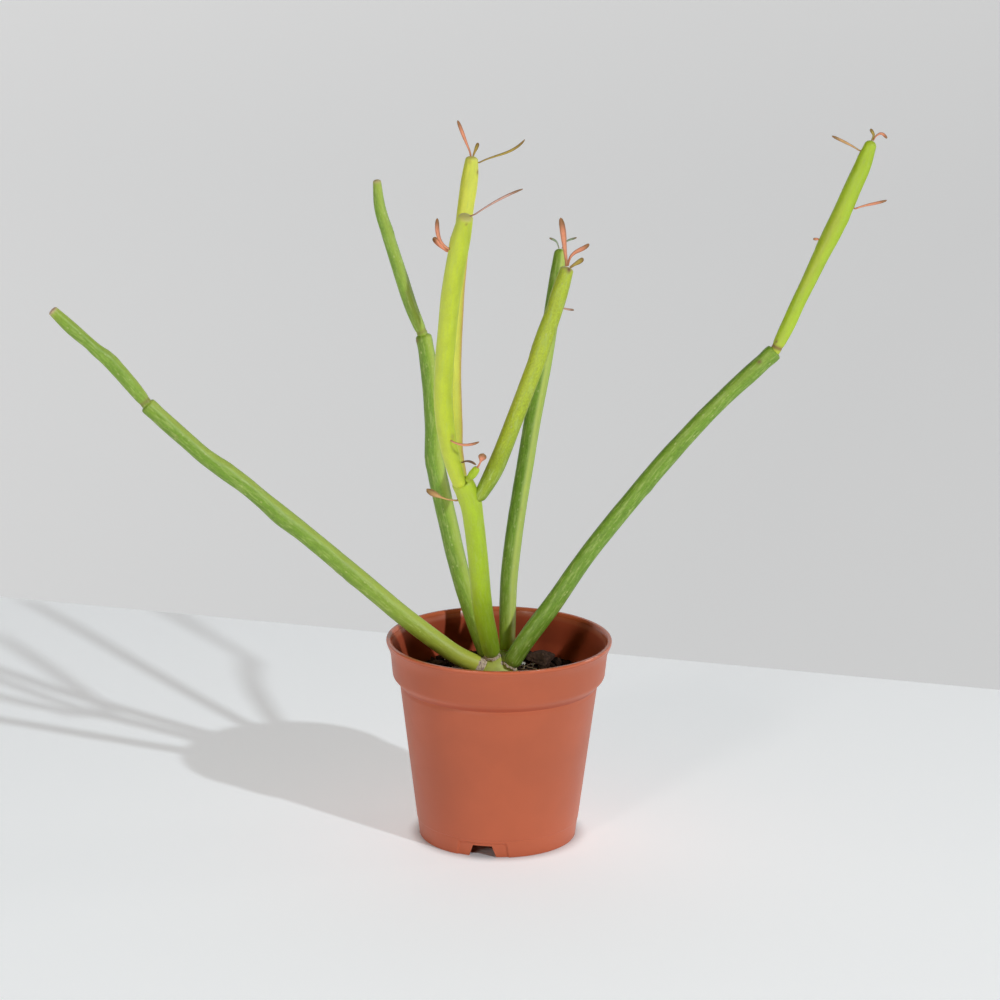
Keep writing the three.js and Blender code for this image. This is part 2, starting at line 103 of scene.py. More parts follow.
def stem_spine(node):
    """Centre points and radii of a CAD stem from foot to tip. Its corners are sorted along it and
    parted where they leave a gap. A ring's centre is the mean of its corners; at each end it is
    the group's mean moved out along the stem to the flat end."""
    points = solid_points(node)
    along = points @ main_direction(points)
    order = np.argsort(along)
    rings = np.split(points[order], np.flatnonzero(np.diff(along[order]) > RING_GAP) + 1)
    centres = np.array([ring.mean(0) for ring in rings])
    radii = np.array([np.linalg.norm(ring - ring.mean(0), axis=1).mean() for ring in rings])
    for end, inner in ((0, 1), (-1, -2)):
        outward = unit(centres[end] - centres[inner])
        offsets = rings[end] - centres[end]
        reach = offsets @ outward
        radii[end] = np.linalg.norm(offsets - np.outer(reach, outward), axis=1).max()
        centres[end] += outward * reach.max()
    return centres, radii


def leaf_spine(node, root_near):
    """Midrib points of a CAD leaf from stalk to tip, with its half width. The midrib is a cubic
    fitted to the leaf's corners by least squares, along the direction in which it is longest."""
    points = solid_points(node)
    along = (points - points.mean(0)) @ main_direction(points)
    fit = np.polynomial.polynomial.polyfit(along, points, 3)
    midrib = np.polynomial.polynomial.polyval(np.linspace(along.min(), along.max(), 24), fit).T
    first, last = (np.linalg.norm(root_near - end, axis=1).min() for end in midrib[[0, -1]])
    if first > last:
        midrib = midrib[::-1]
    return midrib, np.linalg.norm(points[:, None] - midrib, axis=2).min(1).max()


# ---- shapes -------------------------------------------------------------------------------
def smooth_step(low, high, x):
    """0 below low, 1 above high, and 3t^2 - 2t^3 between them."""
    t = np.clip((x - low) / (high - low), 0, 1)
    return t * t * (3 - 2 * t)


def bell(x, width):
    """The bell curve exp(-(x / width)^2)."""
    return np.exp(-((x / width) ** 2))


def angles(count):
    """Evenly spaced angles round a full turn."""
    return np.arange(count) * FULL_TURN / count


def turn_gap(angle, degrees):
    """How far angles are from a direction in degrees, from minus half a turn to half a turn."""
    return (angle - np.radians(degrees) + math.pi) % FULL_TURN - math.pi


def stacked(*parts):
    """Points from their x, y and z, each a number or an array."""
    return np.stack(np.broadcast_arrays(*parts), -1)


LATTICE = 32  # size of the table of random values that noise repeats after


def lattice_noise(points, seed):
    """Smooth noise from -1 to 1: random values at the whole-number points, blended between them
    by 3t^2 - 2t^3 along each axis."""
    cells = np.floor(points).astype(int)
    t = smooth_step(0, 1, points - cells)
    table = np.random.default_rng(seed).uniform(-1, 1, (LATTICE,) * 3)
    total = 0
    for corner in np.ndindex(2, 2, 2):
        share = np.prod(np.where(np.array(corner), t, 1 - t), axis=-1)
        x, y, z = np.moveaxis((cells + corner) % LATTICE, -1, 0)
        total = total + share * table[x, y, z]
    return total


def rough(points, seed, octaves=3):
    """Noise in layers, each twice as fine and half as strong as the one before."""
    return sum(lattice_noise(points * 2**k + 7.3 * k, seed + k) / 2**k for k in range(octaves))


def through(knots, values, at):
    """A smooth curve through values at knots: on each stretch the cubic that has the slopes of
    its two ends, which are taken from the neighbouring points."""
    values = np.asarray(values, float)
    slopes = np.gradient(values, knots, axis=0)
    i = np.clip(np.searchsorted(knots, at, side="right") - 1, 0, len(knots) - 2)
    column = (-1,) + (1,) * (values.ndim - 1)
    step = (knots[i + 1] - knots[i]).reshape(column)
    u = (at - knots[i]).reshape(column) / step
    ends = (2 * u**3 - 3 * u**2 + 1) * values[i] + (3 * u**2 - 2 * u**3) * values[i + 1]
    return ends + step * ((u**3 - 2 * u**2 + u) * slopes[i] + (u**3 - u**2) * slopes[i + 1])


def reach_along(points):
    """Distance along a line of points to each of them."""
    return np.concatenate([[0], np.cumsum(np.linalg.norm(np.diff(points, axis=0), axis=1))])


def sides_of(run):
    """Two directions across a line that runs along run: the first is square to the depth axis,
    which no stem or leaf runs along, and the second is square to both."""
    tangent = unit(run)
    across = unit(np.cross(DEPTH, tangent))
    return across, np.cross(tangent, across)


def tube_points(centres, across, outward, side, front):
    """A grid of points round a line: centre + side * across + front * outward, where side and
    front hold one row per centre and one column per angle."""
    return (centres[..., None, :] + side[..., None] * across[..., None, :]
            + front[..., None] * outward[..., None, :])


def tube_faces(rows, columns, first):
    """Squares of a grid whose columns close on themselves, then a fan from a pole at each end.
    The poles are the two points that follow the grid's."""
    j = np.arange(columns)
    k = (j + 1) % columns
    row = np.arange(rows - 1)[:, None] * columns
    squares = stacked(row + j, row + k, row + columns + k, row + columns + j).reshape(-1, 4)
    low, last = rows * columns, (rows - 1) * columns
    fans = np.concatenate([stacked(low, k, j), stacked(low + 1, last + j, last + k)])
    return (squares + first).tolist() + (fans + first).tolist()


def with_poles(grid):
    """A grid of points or values as one list, followed by the means of its end rows."""
    return np.concatenate([grid.reshape(-1, *grid.shape[2:]), grid[:1].mean(1), grid[-1:].mean(1)])


def write_mesh(name, points, faces, smooth=True, **marks):
    """A mesh in metres from points in millimetres, with an attribute on its points for each
    mark: one number a point, or three."""
    mesh = bpy.data.meshes.new(name)
    mesh.from_pydata((points * MM).tolist(), [], faces)
    for mark, values in marks.items():
        values = np.asarray(values, np.float32)
        kind, field = ("FLOAT_VECTOR", "vector") if values.ndim == 2 else ("FLOAT", "value")
        mesh.attributes.new(mark, kind, "POINT").data.foreach_set(field, values.ravel())
    mesh.polygons.foreach_set("use_smooth", np.full(len(mesh.polygons), smooth))
    mesh.update()
    return mesh


def tube_mesh(name, *grids, smooth=True, **marks):
    """A mesh of grids whose columns go round, with a pole at each end of each grid. Each mark is
    one value or has the shape of the grid, or of one row or column of it."""
    points = [with_poles(grid) for grid in grids]
    starts = np.cumsum([0, *map(len, points)])
    faces = [face for grid, first in zip(grids, starts)
             for face in tube_faces(*grid.shape[:2], first)]
    for mark, values in marks.items():
        parts = [np.broadcast_to(values, grid.shape[:2] + np.shape(values)[2:]) for grid in grids]
        marks[mark] = np.concatenate([with_poles(part) for part in parts])
    return write_mesh(name, np.concatenate(points), faces, smooth, **marks)


def add_piece(mesh, material, slot, *nodes):
    """An object for a mesh, riding on the plant's one body and standing for its CAD nodes."""
    piece = linked(mesh.name, mesh)
    mesh.materials.append(material)
    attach(piece, "root")
    if nodes:
        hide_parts(*nodes)
    return piece


def linked(name, data):
    """An object in the scene."""
    thing = bpy.data.objects.new(name, data)
    bpy.context.scene.collection.objects.link(thing)
    return thing


# ---- finishes -----------------------------------------------------------------------------
class Value:
    """A shader socket that takes part in sums as a number."""

    def __init__(self, nodes, socket):
        self.nodes = nodes
        self.socket = socket

    def _math(self, operation, *terms):
        return self.nodes.node("ShaderNodeMath", {"operation": operation}, dict(enumerate(terms)))

    def __add__(self, other):
        return self._math("ADD", self, other)

    def __sub__(self, other):
        return self._math("SUBTRACT", self, other)

    def __rsub__(self, other):
        return self._math("SUBTRACT", other, self)

    def __mul__(self, other):
        return self._math("MULTIPLY", self, other)

    def __truediv__(self, other):
        return self._math("DIVIDE", self, other)

    __radd__ = __add__
    __rmul__ = __mul__

    def between(self, low, high, shape="SMOOTHSTEP"):
        """0 where the value is below low, 1 where it is above high."""
        inputs = {"Value": self, "From Min": low, "From Max": high}
        return self.nodes.node("ShaderNodeMapRange", {"interpolation_type": shape}, inputs)

    def clamped(self):
        """The value, held between 0 and 1."""
        return self.between(0, 1, "LINEAR")


class Nodes:
    """A node tree, the node that its results feed, and the one way in which nodes are added."""

    def __init__(self, owner, fed):
        owner.use_nodes = True
        self.tree = owner.node_tree
        self.fed = self.tree.nodes[fed]

    def node(self, kind, settings=None, inputs=None, output=0):
        """Adds a node, with its settings made first and then its sockets set or linked."""
        made = self.tree.nodes.new(kind)
        for name, value in (settings or {}).items():
            setattr(made, name, value)
        for name, value in (inputs or {}).items():
            if isinstance(value, Value):
                self.tree.links.new(value.socket, made.inputs[name])
            else:
                made.inputs[name].default_value = value
        return Value(self, made.outputs[output])

    def feed(self, socket, value):
        """Links a value to a socket of the node that the results feed."""
        self.tree.links.new(value.socket, self.fed.inputs[socket])


class Finish(Nodes):
    """A material in the making: a Principled surface and the nodes that feed it."""

    def __init__(self, name, **constants):
        self.material = bpy.data.materials.new(name)
        super().__init__(self.material, "Principled BSDF")
        for socket, value in constants.items():
            self.fed.inputs[socket.replace("_", " ")].default_value = value

    def attribute(self, name, output="Fac"):
        """A mark that the mesh carries on its points."""
        return self.node("ShaderNodeAttribute", {"attribute_name": name}, output=output)

    def place(self):
        """Object coordinates, in metres."""
        return self.node("ShaderNodeTexCoord", output="Object")

    def vector(self, operation, first, second=(0, 0, 0), output=0):
        """Vector maths on two vectors; output 1 is its number."""
        settings = {"operation": operation}
        return self.node("ShaderNodeVectorMath", settings, {0: first, 1: second}, output)

    def stretched(self, vector, scale):
        """A vector times a scale of its own along each axis."""
        return self.node("ShaderNodeMapping", inputs={"Vector": vector, "Scale": scale})

    def noise(self, vector, scale, detail=2.0, roughness=0.5, stretch=None):
        """Noise about 0.5, finer along the axes that are stretched more."""
        vector = self.stretched(vector, stretch) if stretch else vector
        inputs = {"Vector": vector, "Scale": scale, "Detail": detail, "Roughness": roughness}
        return self.node("ShaderNodeTexNoise", inputs=inputs)

    def mix(self, factor, first, second):
        """Colour first where factor is 0 and second where it is 1."""
        inputs = {"Factor": factor, 6: first, 7: second}
        return self.node("ShaderNodeMix", {"data_type": "RGBA"}, inputs, output=2)

    def bump(self, height, distance, strength=0.8):
        """Lets a height stand out of the surface by a distance in metres."""
        inputs = {"Height": height, "Distance": distance, "Strength": strength}
        self.feed("Normal", self.node("ShaderNodeBump", inputs=inputs))


def paint(*screen):
    """A colour of screen values from 0 to 255, as the linear colour that shaders use."""
    screen = np.array(screen) / 255
    linear = np.where(screen <= 0.04045, screen / 12.92, ((screen + 0.055) / 1.055) ** 2.4)
    return (*linear.tolist(), 1.0)


def shade_of(colour, factor):
    """A colour made darker or lighter by a factor."""
    return (*(min(1.0, channel * factor) for channel in colour[:3]), 1.0)


def pot_finish(settings):
    """Moulded polypropylene: fine uneven gloss, a faint mottle and faint level draw marks. It is
    duller inside, where the distance from the axis is under the wall's middle, and there and in
    the crease under the collar it has painted shade, a deeper, darker colour. Along the lip it is
    glossier and has a painted highlight, a paler colour."""
    finish = Finish("pot_plastic")
    place = finish.place()
    mottle = finish.noise(place, 55, detail=4.0)
    draw_marks = finish.noise(place, 1.0, detail=1.0, stretch=(20, 20, 1600))
    tones = shade_of(settings.colour, 0.94), shade_of(settings.colour, 1.05)
    colour = finish.mix(mottle.between(0.3, 0.75), *tones)
    from_foot = finish.vector("SUBTRACT", place, POT_FOOT * MM)
    height = finish.node("ShaderNodeSeparateXYZ", inputs={"Vector": from_foot}, output=2) / MM
    level = finish.vector("MULTIPLY", from_foot, (1, 1, 0))
    out = finish.vector("LENGTH", level, output=1) / MM
    flare = height.between(COLLAR_BOTTOM, COLLAR_BOTTOM + 3.9, "LINEAR")
    beyond_middle = out - (WALL_TOP_RADIUS - 0.55) - 2.35 * flare
    inside = (1 - beyond_middle.between(-0.2, 0.2)) * flare.between(0, 0.1)
    # Painted shade in the crease under the collar.
    crease = flare.between(0, 0.05) * (1 - flare.between(0.2, 0.4))
    # Painted highlight along the lip: its colour turns paler there.
    lip = height.between(POT_HEIGHT - 0.9, POT_HEIGHT - 0.2)
    # Painted shade inside the rim and in the crease, in the inside colour.
    colour = finish.mix((inside + crease * 0.8).clamped(), colour, settings.inside_shade_colour)
    finish.feed("Base Color", finish.mix(lip * 0.6, colour, shade_of(settings.colour, 1.5)))
    polished = height.between(POT_HEIGHT - 1.6, POT_HEIGHT - 0.8) * 0.16
    gloss = settings.roughness - 0.04 + 0.1 * finish.noise(place, 240) - polished
    finish.feed("Roughness", gloss + 0.45 * inside)
    finish.bump(finish.noise(place, 2600) * 0.5 + draw_marks * 0.35 + mottle, distance=0.00003)
    return finish.material


def stem_finish(skin_name, settings, mottle):
    """Waxy skin. Fine lines run along the stem, soft patches and a fine grain change its green,
    and pale dots are scattered over it. One mark makes it paler where it is positive, as painted
    light, and deeper where it is negative, as painted shade or the darker green that deep sets
    towards a foot; pale, flush, cap and scar turn it yellow, tan, pink and brown."""
    finish = Finish(f"{skin_name}_stem", Subsurface_Weight=0.15,
                    Subsurface_Radius=(0.9, 1.0, 0.3), Subsurface_Scale=0.0009)
    skin = finish.attribute("skin", "Vector")
    marks = "pale", "flush", "cap", "scar", "sunny"
    pale, flush, cap, scar, sunny = (finish.attribute(mark) for mark in marks)
    lines = finish.noise(skin, 2.0, detail=3.0, roughness=0.6, stretch=(1.0, 1.0, 0.15))
    patches = finish.noise(skin, 0.9, detail=3.0, stretch=(0.5, 0.5, 0.18))
    grain = finish.noise(skin, 2.6, detail=3.0, roughness=0.7, stretch=(1.0, 1.0, 0.6))
    cells = {"Vector": finish.stretched(skin, (1.0, 1.0, 0.6)), "Scale": 0.85}
    dots = finish.node("ShaderNodeTexVoronoi", inputs=cells)
    cell_colour = finish.node("ShaderNodeTexVoronoi", inputs=cells, output="Color")
    chosen = finish.node("ShaderNodeSeparateColor", inputs={"Color": cell_colour})
    speckle = (1 - dots.between(0.1, 0.26)) * chosen.between(0.55, 0.7) * mottle
    # The tone takes in the painted light and shade as well.
    tone = 0.5 + (patches - 0.5) * 0.7 + (grain - 0.5) * mottle + sunny * 0.3
    base = getattr(settings, f"{skin_name}_colour")
    colour = finish.mix(tone.clamped(), shade_of(base, 0.66), shade_of(base, 1.3))
    line_share = settings.line_strength * min(1, mottle)
    uneven = 0.62 + 0.6 * finish.noise(skin, 1.4, detail=3.0)
    # Painted light on a lit side, painted shade on a shaded side and the darker foot that deep sets,
    # then the skin's own marks.
    for share, over in (
        (sunny.clamped() * 0.75, settings.painted_light_colour),
        ((0 - sunny).clamped() * 0.7, settings.deep_colour),
        (lines.between(0.46, 0.72) * line_share, settings.line_colour),
        ((speckle * settings.speckle_strength).clamped(), settings.speckle_colour),
        (pale, settings.pale_colour),
        ((flush * uneven).clamped(), settings.flush_colour),
        (cap, settings.cap_colour),
        (scar, settings.scar_colour),
    ):
        colour = finish.mix(share, colour, over)
    finish.feed("Base Color", colour)
    finish.feed("Roughness", 0.42 + 0.14 * patches + 0.3 * scar)
    height = lines * 0.8 + speckle * 0.5 + grain * 0.3 - scar * 0.4 * finish.noise(skin, 5.0)
    finish.bump(height, distance=0.00006, strength=0.6)
    return finish.material


def leaf_finish(kind, settings):
    """Fleshy leaf: a brown stalk, a blade with a painted highlight along its midrib and painted
    shade towards its edges, and a darker tip, with fine lines along it."""
    finish = Finish(f"{kind}_leaf", Subsurface_Weight=0.25, Subsurface_Radius=(1.0, 0.5, 0.3),
                    Subsurface_Scale=0.0008)
    flesh = getattr(settings, f"{kind}_colour")
    along, edge = finish.attribute("along"), finish.attribute("edge")
    skin = finish.attribute("skin", "Vector")
    lines = finish.noise(skin, 7.0, stretch=(1.0, 1.0, 0.15))
    # Painted highlight along the midrib, painted shade towards the blade's edges.
    colour = finish.mix(edge.between(0.25, 0.95), shade_of(flesh, 1.22), shade_of(flesh, 0.68))
    colour = finish.mix(lines.between(0.45, 0.75) * 0.5, colour, shade_of(flesh, 0.62))
    tipped = along.between(0.66, 0.96) * (0.7 + 0.3 * edge)
    colour = finish.mix(tipped, colour, settings.tip_colour)
    stalk = 1 - along.between(0.0, 0.3)
    finish.feed("Base Color", finish.mix(stalk * 0.6, colour, settings.stalk_colour))
    finish.feed("Roughness", 0.46 + 0.2 * lines)
    finish.bump(lines, distance=0.00005, strength=0.6)
    return finish.material


def crown_finish(settings):
    """Pale green skin that turns to dry beige cork, cracked along its length, where cork is 1."""
    finish = Finish("corky_crown", Subsurface_Weight=0.1, Subsurface_Radius=(0.9, 1.0, 0.3),
                    Subsurface_Scale=0.001)
    place = finish.place()
    cracks = finish.noise(place, 2300, detail=4.0, roughness=0.65, stretch=(1.0, 1.0, 0.3))
    blotch = finish.noise(place, 700, detail=3.0)
    skin = settings.crown_colour
    green = finish.mix(blotch.between(0.35, 0.7), skin, shade_of(skin, 0.84))
    dry = finish.mix(cracks.between(0.34, 0.54), settings.crack_colour, settings.cork_colour)
    corky = (finish.attribute("cork") + 0.6 * blotch - 0.3).between(0.42, 0.66)
    finish.feed("Base Color", finish.mix(corky, green, dry))
    finish.feed("Roughness", 0.55 + 0.35 * corky)
    finish.bump(cracks * (0.1 + corky), distance=0.00012)
    return finish.material


def soil_finish(name, settings, dark, light, scale):
    """Crumbly matter: two browns mixed by noise, each crumb with a tone of its own."""
    finish = Finish(name, Specular_IOR_Level=0.2)
    place = finish.place()
    grain = finish.noise(place, scale, detail=5.0, roughness=0.65)
    fine = finish.noise(place, scale * 5, detail=3.0)
    tone = grain.between(0.35, 0.7) * 0.6 + finish.attribute("tone") * 0.4
    dust = fine.between(0.62, 0.8) * 0.35
    colour = finish.mix(dust, finish.mix(tone.clamped(), dark, light), settings.dust_colour)
    finish.feed("Base Color", colour)
    finish.feed("Roughness", 0.82 + 0.15 * fine)
    finish.bump(grain + fine * 0.5, distance=0.0003, strength=0.9)
    return finish.material


def grain_finish(name, base):
    """Chalky, porous grains and fluff, faintly stained."""
    finish = Finish(name, Subsurface_Weight=0.1, Subsurface_Scale=0.0005)
    place = finish.place()
    pores = finish.noise(place, 3800, detail=4.0)
    stain = finish.noise(place, 900, detail=3.0)
    colour = finish.mix(stain.between(0.45, 0.75), base, shade_of(base, 0.6))
    finish.feed("Base Color", finish.mix(pores.between(0.55, 0.75), colour, shade_of(base, 0.45)))
    finish.feed("Roughness", 0.8 + 0.15 * pores)
    finish.bump(pores, distance=0.00012)
    return finish.material


# ---- settings -----------------------------------------------------------------------------
def colour_setting(name, description, default):
    """A colour setting with its default as a linear colour."""
    return FloatVectorProperty(name=name, description=description, subtype="COLOR", size=4,
                               min=0.0, max=1.0, default=default)


def tint(name, description, *screen):
    """A colour setting with its default in screen values."""
    return colour_setting(name, description, paint(*screen))


def number(name, description, default, low=0.0, high=1.0, **more):
    """A setting that is a number from low to high."""
    return FloatProperty(name=name, description=description, default=default, min=low, max=high,
                         **more)


class EuphorbiaPotSettings(bpy.types.PropertyGroup):
    colour: tint("Colour", "Plastic of the pot", 190, 93, 57)
    # Painted shade: the colour inside the rim and in the crease under the collar.
    inside_shade_colour: tint("Inside", "Plastic inside the rim", 174, 70, 34)
    roughness: number("Roughness", "Roughness of the plastic", 0.4)
    wall: number("Wall", "Thickness of the pot's wall, in millimetres", 1.3, 0.4, 3.0)
    panel_depth: number("Panel Depth", "How far the foot panels are set back, in millimetres", 0.45)


class EuphorbiaStemSettings(bpy.types.PropertyGroup):
    green_colour: tint("Green", "Skin of the old stems", 126, 164, 46)
    lime_colour: tint("Lime", "Skin of the young stems", 180, 210, 34)
    yellow_colour: tint("Yellow", "Skin of the youngest shoot", 240, 244, 80)
    moss_colour: tint("Moss", "Skin of the side shoot", 184, 200, 44)
    pear_colour: tint("Pear", "Skin of the front shoot", 206, 222, 48)
    # Painted light on a stem's lit side.
    painted_light_colour: tint("Sunny", "Skin on a paler side", 212, 222, 104)
    # Painted shade on a stem's shaded side, also the darker green towards a foot that deep sets.
    deep_colour: tint("Deep", "Skin in deeper parts", 96, 140, 18)
    line_colour: tint("Line", "Pale lines along the skin", 184, 204, 110)
    speckle_colour: tint("Speckle", "Dots on the skin", 206, 214, 134)
    pale_colour: tint("Pale", "Bleached foot of a stem", 218, 220, 80)
    flush_colour: tint("Flush", "Tan side that faces the sun", 214, 148, 92)
    cap_colour: tint("Cap", "Dry skin on a tip", 226, 184, 160)
    scar_colour: tint("Scar", "Leaf scars and joint rings", 140, 92, 72)
    line_strength: number("Lines", "Strength of the pale lines", 0.6)
    speckle_strength: number("Speckles", "Strength of the dots", 0.3)
    lumpiness: number("Lumpiness", "Unevenness of a stem, as a share of its radius", 0.022, 0, 0.1)


class EuphorbiaLeafSettings(bpy.types.PropertyGroup):
    orange_colour: tint("Orange", "Blades of most leaves", 228, 150, 114)
    pink_colour: tint("Pink", "Blades of the palest leaves", 208, 164, 148)
    sand_colour: tint("Sand", "Blades that are partly yellow", 208, 162, 104)
    olive_colour: tint("Olive", "Blades of the older leaves", 176, 150, 66)
    brown_colour: tint("Brown", "Blade of the driest leaf", 104, 70, 52)
    grey_colour: tint("Grey", "Blades that are grey green", 150, 166, 132)
    tip_colour: tint("Tip", "Tips of the leaves", 128, 96, 44)
    stalk_colour: tint("Stalk", "Foot of each leaf", 152, 112, 60)
    cupping: number("Cupping", "How far a blade's sides rise, as a share of its width", 0.3)


class EuphorbiaCrownSettings(bpy.types.PropertyGroup):
    crown_colour: tint("Crown", "Skin of the crown", 204, 212, 92)
    cork_colour: tint("Cork", "Dry cork rings", 232, 208, 180)
    crack_colour: tint("Crack", "Cracks in the cork", 150, 118, 94)


class EuphorbiaSoilSettings(bpy.types.PropertyGroup):
    dark_colour: tint("Dark", "Damp crumbs", 26, 16, 11)
    light_colour: tint("Light", "Dry crumbs", 74, 50, 36)
    bark_dark_colour: tint("Bark Dark", "Bark in its hollows", 50, 33, 27)
    bark_light_colour: tint("Bark Light", "Bark on its edges", 114, 86, 70)
    dust_colour: tint("Dust", "Fine dust on crumbs", 120, 92, 70)
    perlite_colour: tint("Grains", "White grains", 224, 218, 204)
    fibre_colour: tint("Fibres", "Thin dry roots", 186, 158, 124)
    crumbs: IntProperty(name="Crumbs", description="Number of loose crumbs", default=1500, min=0,
                        max=6000)
    lumps: number("Lumps", "Height of the bed's lumps, in millimetres", 1.1, 0, 3)


class EuphorbiaStageSettings(bpy.types.PropertyGroup):
    floor_colour: colour_setting("Floor", "Table top", (0.8, 0.803, 0.806, 1))
    wall_colour: colour_setting("Wall", "Backdrop", (0.6, 0.592, 0.588, 1))
    key_colour: colour_setting("Key Colour", "Colour of the key light", (0.87, 0.95, 1, 1))
    fill_colour: colour_setting("Fill Colour", "Colour of the other lights", (1, 0.97, 0.92, 1))
    floor_glow: number("Floor Glow", "Light the table gives of itself", 0.61)
    wall_glow: number("Wall Glow", "Light the wall gives of itself", 0.755)
    key_strength: number("Key", "Strength of the key light", 1.5, 0, 10)
    front_strength: number("Front", "Strength of the front left light", 21, 0, 200)
    side_strength: number("Side", "Strength of the light on the right", 33, 0, 200)
    low_strength: number("Low", "Strength of the low light on the left", 27, 0, 200)
    sky_strength: number("Sky", "Strength of the light from all round", 0.006, 0, 5)
    sky_seen: number("Sky Seen", "How bright the sky itself looks", 0.58, 0, 5)
    key_spread: number("Key Spread", "Width of the key light in the sky", math.radians(1.6),
                       subtype="ANGLE")
    pitch: number("Pitch", "How far the camera looks down", math.radians(14.93), subtype="ANGLE")
    roll: number("Roll", "How far the camera leans", math.radians(0.49), subtype="ANGLE")
    lens: number("Lens", "Focal length, in millimetres", 136.8, 20, 300)


# ---- pot ----------------------------------------------------------------------------------
FOOT_RADIUS = RIM_RADIUS * 0.7
WALL_TOP_RADIUS = RIM_RADIUS * 26.3 / 30
COLLAR_BOTTOM = POT_HEIGHT - 12.3
SKIRT_HEIGHT = 4.8
SKIRT_STEP = 0.12
UNDERSIDE = 3.4
FLOOR_TOP = 4.6
PANEL_HEIGHT = 4.1
PANEL_HALF_WIDTH = 7.1
PANEL_TAPER = 0.8  # how much narrower each half of a panel is at its top
NOTCH_TURNS = -101 + 120 * np.arange(3)  # where the notches are, in degrees
NOTCH_WIDTHS = 8.0, 5.1  # of its foot and its top
NOTCH_HEIGHT = 3.2
DRAIN_TURNS = -56 + 90 * np.arange(4)  # where the drain holes are, in degrees
DRAIN_OUT = 12.5  # from the pot's axis to the middle of each drain hole
DRAIN_RADIUS = 2.8
POT_COLUMNS = 480


def wall_radius(height):
    """Outside radius of the tapered wall at a height."""
    return FOOT_RADIUS + (WALL_TOP_RADIUS - FOOT_RADIUS) * height / COLLAR_BOTTOM


def rounded(outline, steps=5):
    """An outline of [radius, height, rounding] with its corners rounded: each corner is replaced
    by a curve that starts and ends at its rounding's distance from it and bends towards it."""
    outline = np.array(outline, float)
    corner, rounding = outline[:, :2], outline[:, 2]
    t = np.linspace(0, 1, steps)[:, None]
    line = [corner[:1]]
    for i in range(1, len(corner) - 1):
        before, after = corner[i - 1] - corner[i], corner[i + 1] - corner[i]
        start = corner[i] + before * min(0.49, rounding[i] / np.linalg.norm(before))
        end = corner[i] + after * min(0.49, rounding[i] / np.linalg.norm(after))
        line.append((1 - t) ** 2 * start + 2 * t * (1 - t) * corner[i] + t**2 * end)
    return np.concatenate([*line, corner[-1:]])


def filled(line, spacing):
    """A line of points with more between them, so that no step is longer than the spacing."""
    parts = []
    for start, end in zip(line[:-1], line[1:]):
        steps = max(1, math.ceil(np.linalg.norm(end - start) / spacing))
        parts.append(start + (end - start) * np.linspace(0, 1, steps, endpoint=False)[:, None])
    return np.concatenate([*parts, line[-1:]])


def pot_outline(wall):
    """Half section of the pot, from the middle of its underside round to the middle of its
    floor: foot ring, skirt, tapered wall, sloping shelf, collar, rolled lip and inside."""
    shelf_top = COLLAR_BOTTOM + 2.4
    collar = wall_radius(COLLAR_BOTTOM) + 1.9
    top, rim = POT_HEIGHT, RIM_RADIUS
    return rounded([
        [0.02, UNDERSIDE, 0], [FOOT_RADIUS - wall, UNDERSIDE, 0.5],
        [FOOT_RADIUS - wall + 0.2, 0, 0.12], [FOOT_RADIUS - SKIRT_STEP, 0, 0.25],
        [wall_radius(SKIRT_HEIGHT) - SKIRT_STEP, SKIRT_HEIGHT, 0.08],
        [wall_radius(SKIRT_HEIGHT + 0.15), SKIRT_HEIGHT + 0.15, 0.1],
        [wall_radius(COLLAR_BOTTOM - 0.9), COLLAR_BOTTOM - 0.9, 0.3],
        [wall_radius(COLLAR_BOTTOM) - 0.22, COLLAR_BOTTOM, 0.12], [collar, shelf_top, 0.7],
        [rim - 1.15, top - 3.2, 1.4], [rim - 0.12, top - 1.1, 0.7], [rim, top - 0.4, 0.2],
        [rim - 0.12, top, 0.14], [rim - 0.95, top, 0.16], [rim - 1.35, top - 0.6, 0.4],
        [rim - 2.3, top - 3.0, 1.0], [collar - wall, shelf_top + 1.2, 0.8],
        [wall_radius(COLLAR_BOTTOM) - wall, COLLAR_BOTTOM - 0.6, 0.8],
        [wall_radius(FLOOR_TOP) - wall, FLOOR_TOP, 0.8], [0.02, FLOOR_TOP, 0],
    ])


def notch_cutter(degrees):
    """An upright trapezoid that stands in the foot ring, as a grid of its two ends."""
    turn = math.radians(degrees)
    foot, top = NOTCH_WIDTHS
    side = np.array([-foot, foot, top, -top]) / 2
    radius = FOOT_RADIUS + np.array([[-6], [3]])
    x = radius * math.cos(turn) - side * math.sin(turn)
    y = radius * math.sin(turn) + side * math.cos(turn)
    return stacked(x, y, [-1, -1, NOTCH_HEIGHT, NOTCH_HEIGHT]) + POT_FOOT


def drain_cutter(degrees):
    """An upright cylinder that goes through the floor, as a grid of its two ends."""
    turn, angle = math.radians(degrees), angles(40)
    x = DRAIN_OUT * math.cos(turn) + DRAIN_RADIUS * np.cos(angle)
    y = DRAIN_OUT * math.sin(turn) + DRAIN_RADIUS * np.sin(angle)
    return stacked(x, y, [[UNDERSIDE - 1], [FLOOR_TOP + 1]]) + POT_FOOT


def cut_away(piece, cutters):
    """Takes closed solids away from a piece, rounds the cut edges a little, and keeps the result
    as the piece's own mesh."""
    cutter = linked("cutter", tube_mesh("cutter", *cutters, smooth=False))
    cut = piece.modifiers.new("cut", "BOOLEAN")
    cut.operation = "DIFFERENCE"
    cut.solver = "EXACT"
    cut.object = cutter
    soften = piece.modifiers.new("soften", "BEVEL")
    soften.width = 0.15 * MM
    soften.segments = 2
    soften.limit_method = "ANGLE"
    soften.angle_limit = math.radians(50)
    graph = bpy.context.evaluated_depsgraph_get()
    graph.update()
    mesh = bpy.data.meshes.new_from_object(piece.evaluated_get(graph))
    piece.modifiers.clear()
    bpy.data.objects.remove(cutter)
    whole = piece.data
    piece.data = mesh
    bpy.data.meshes.remove(whole)
    mesh.name = piece.name
    mesh.set_sharp_from_angle(angle=math.radians(35))


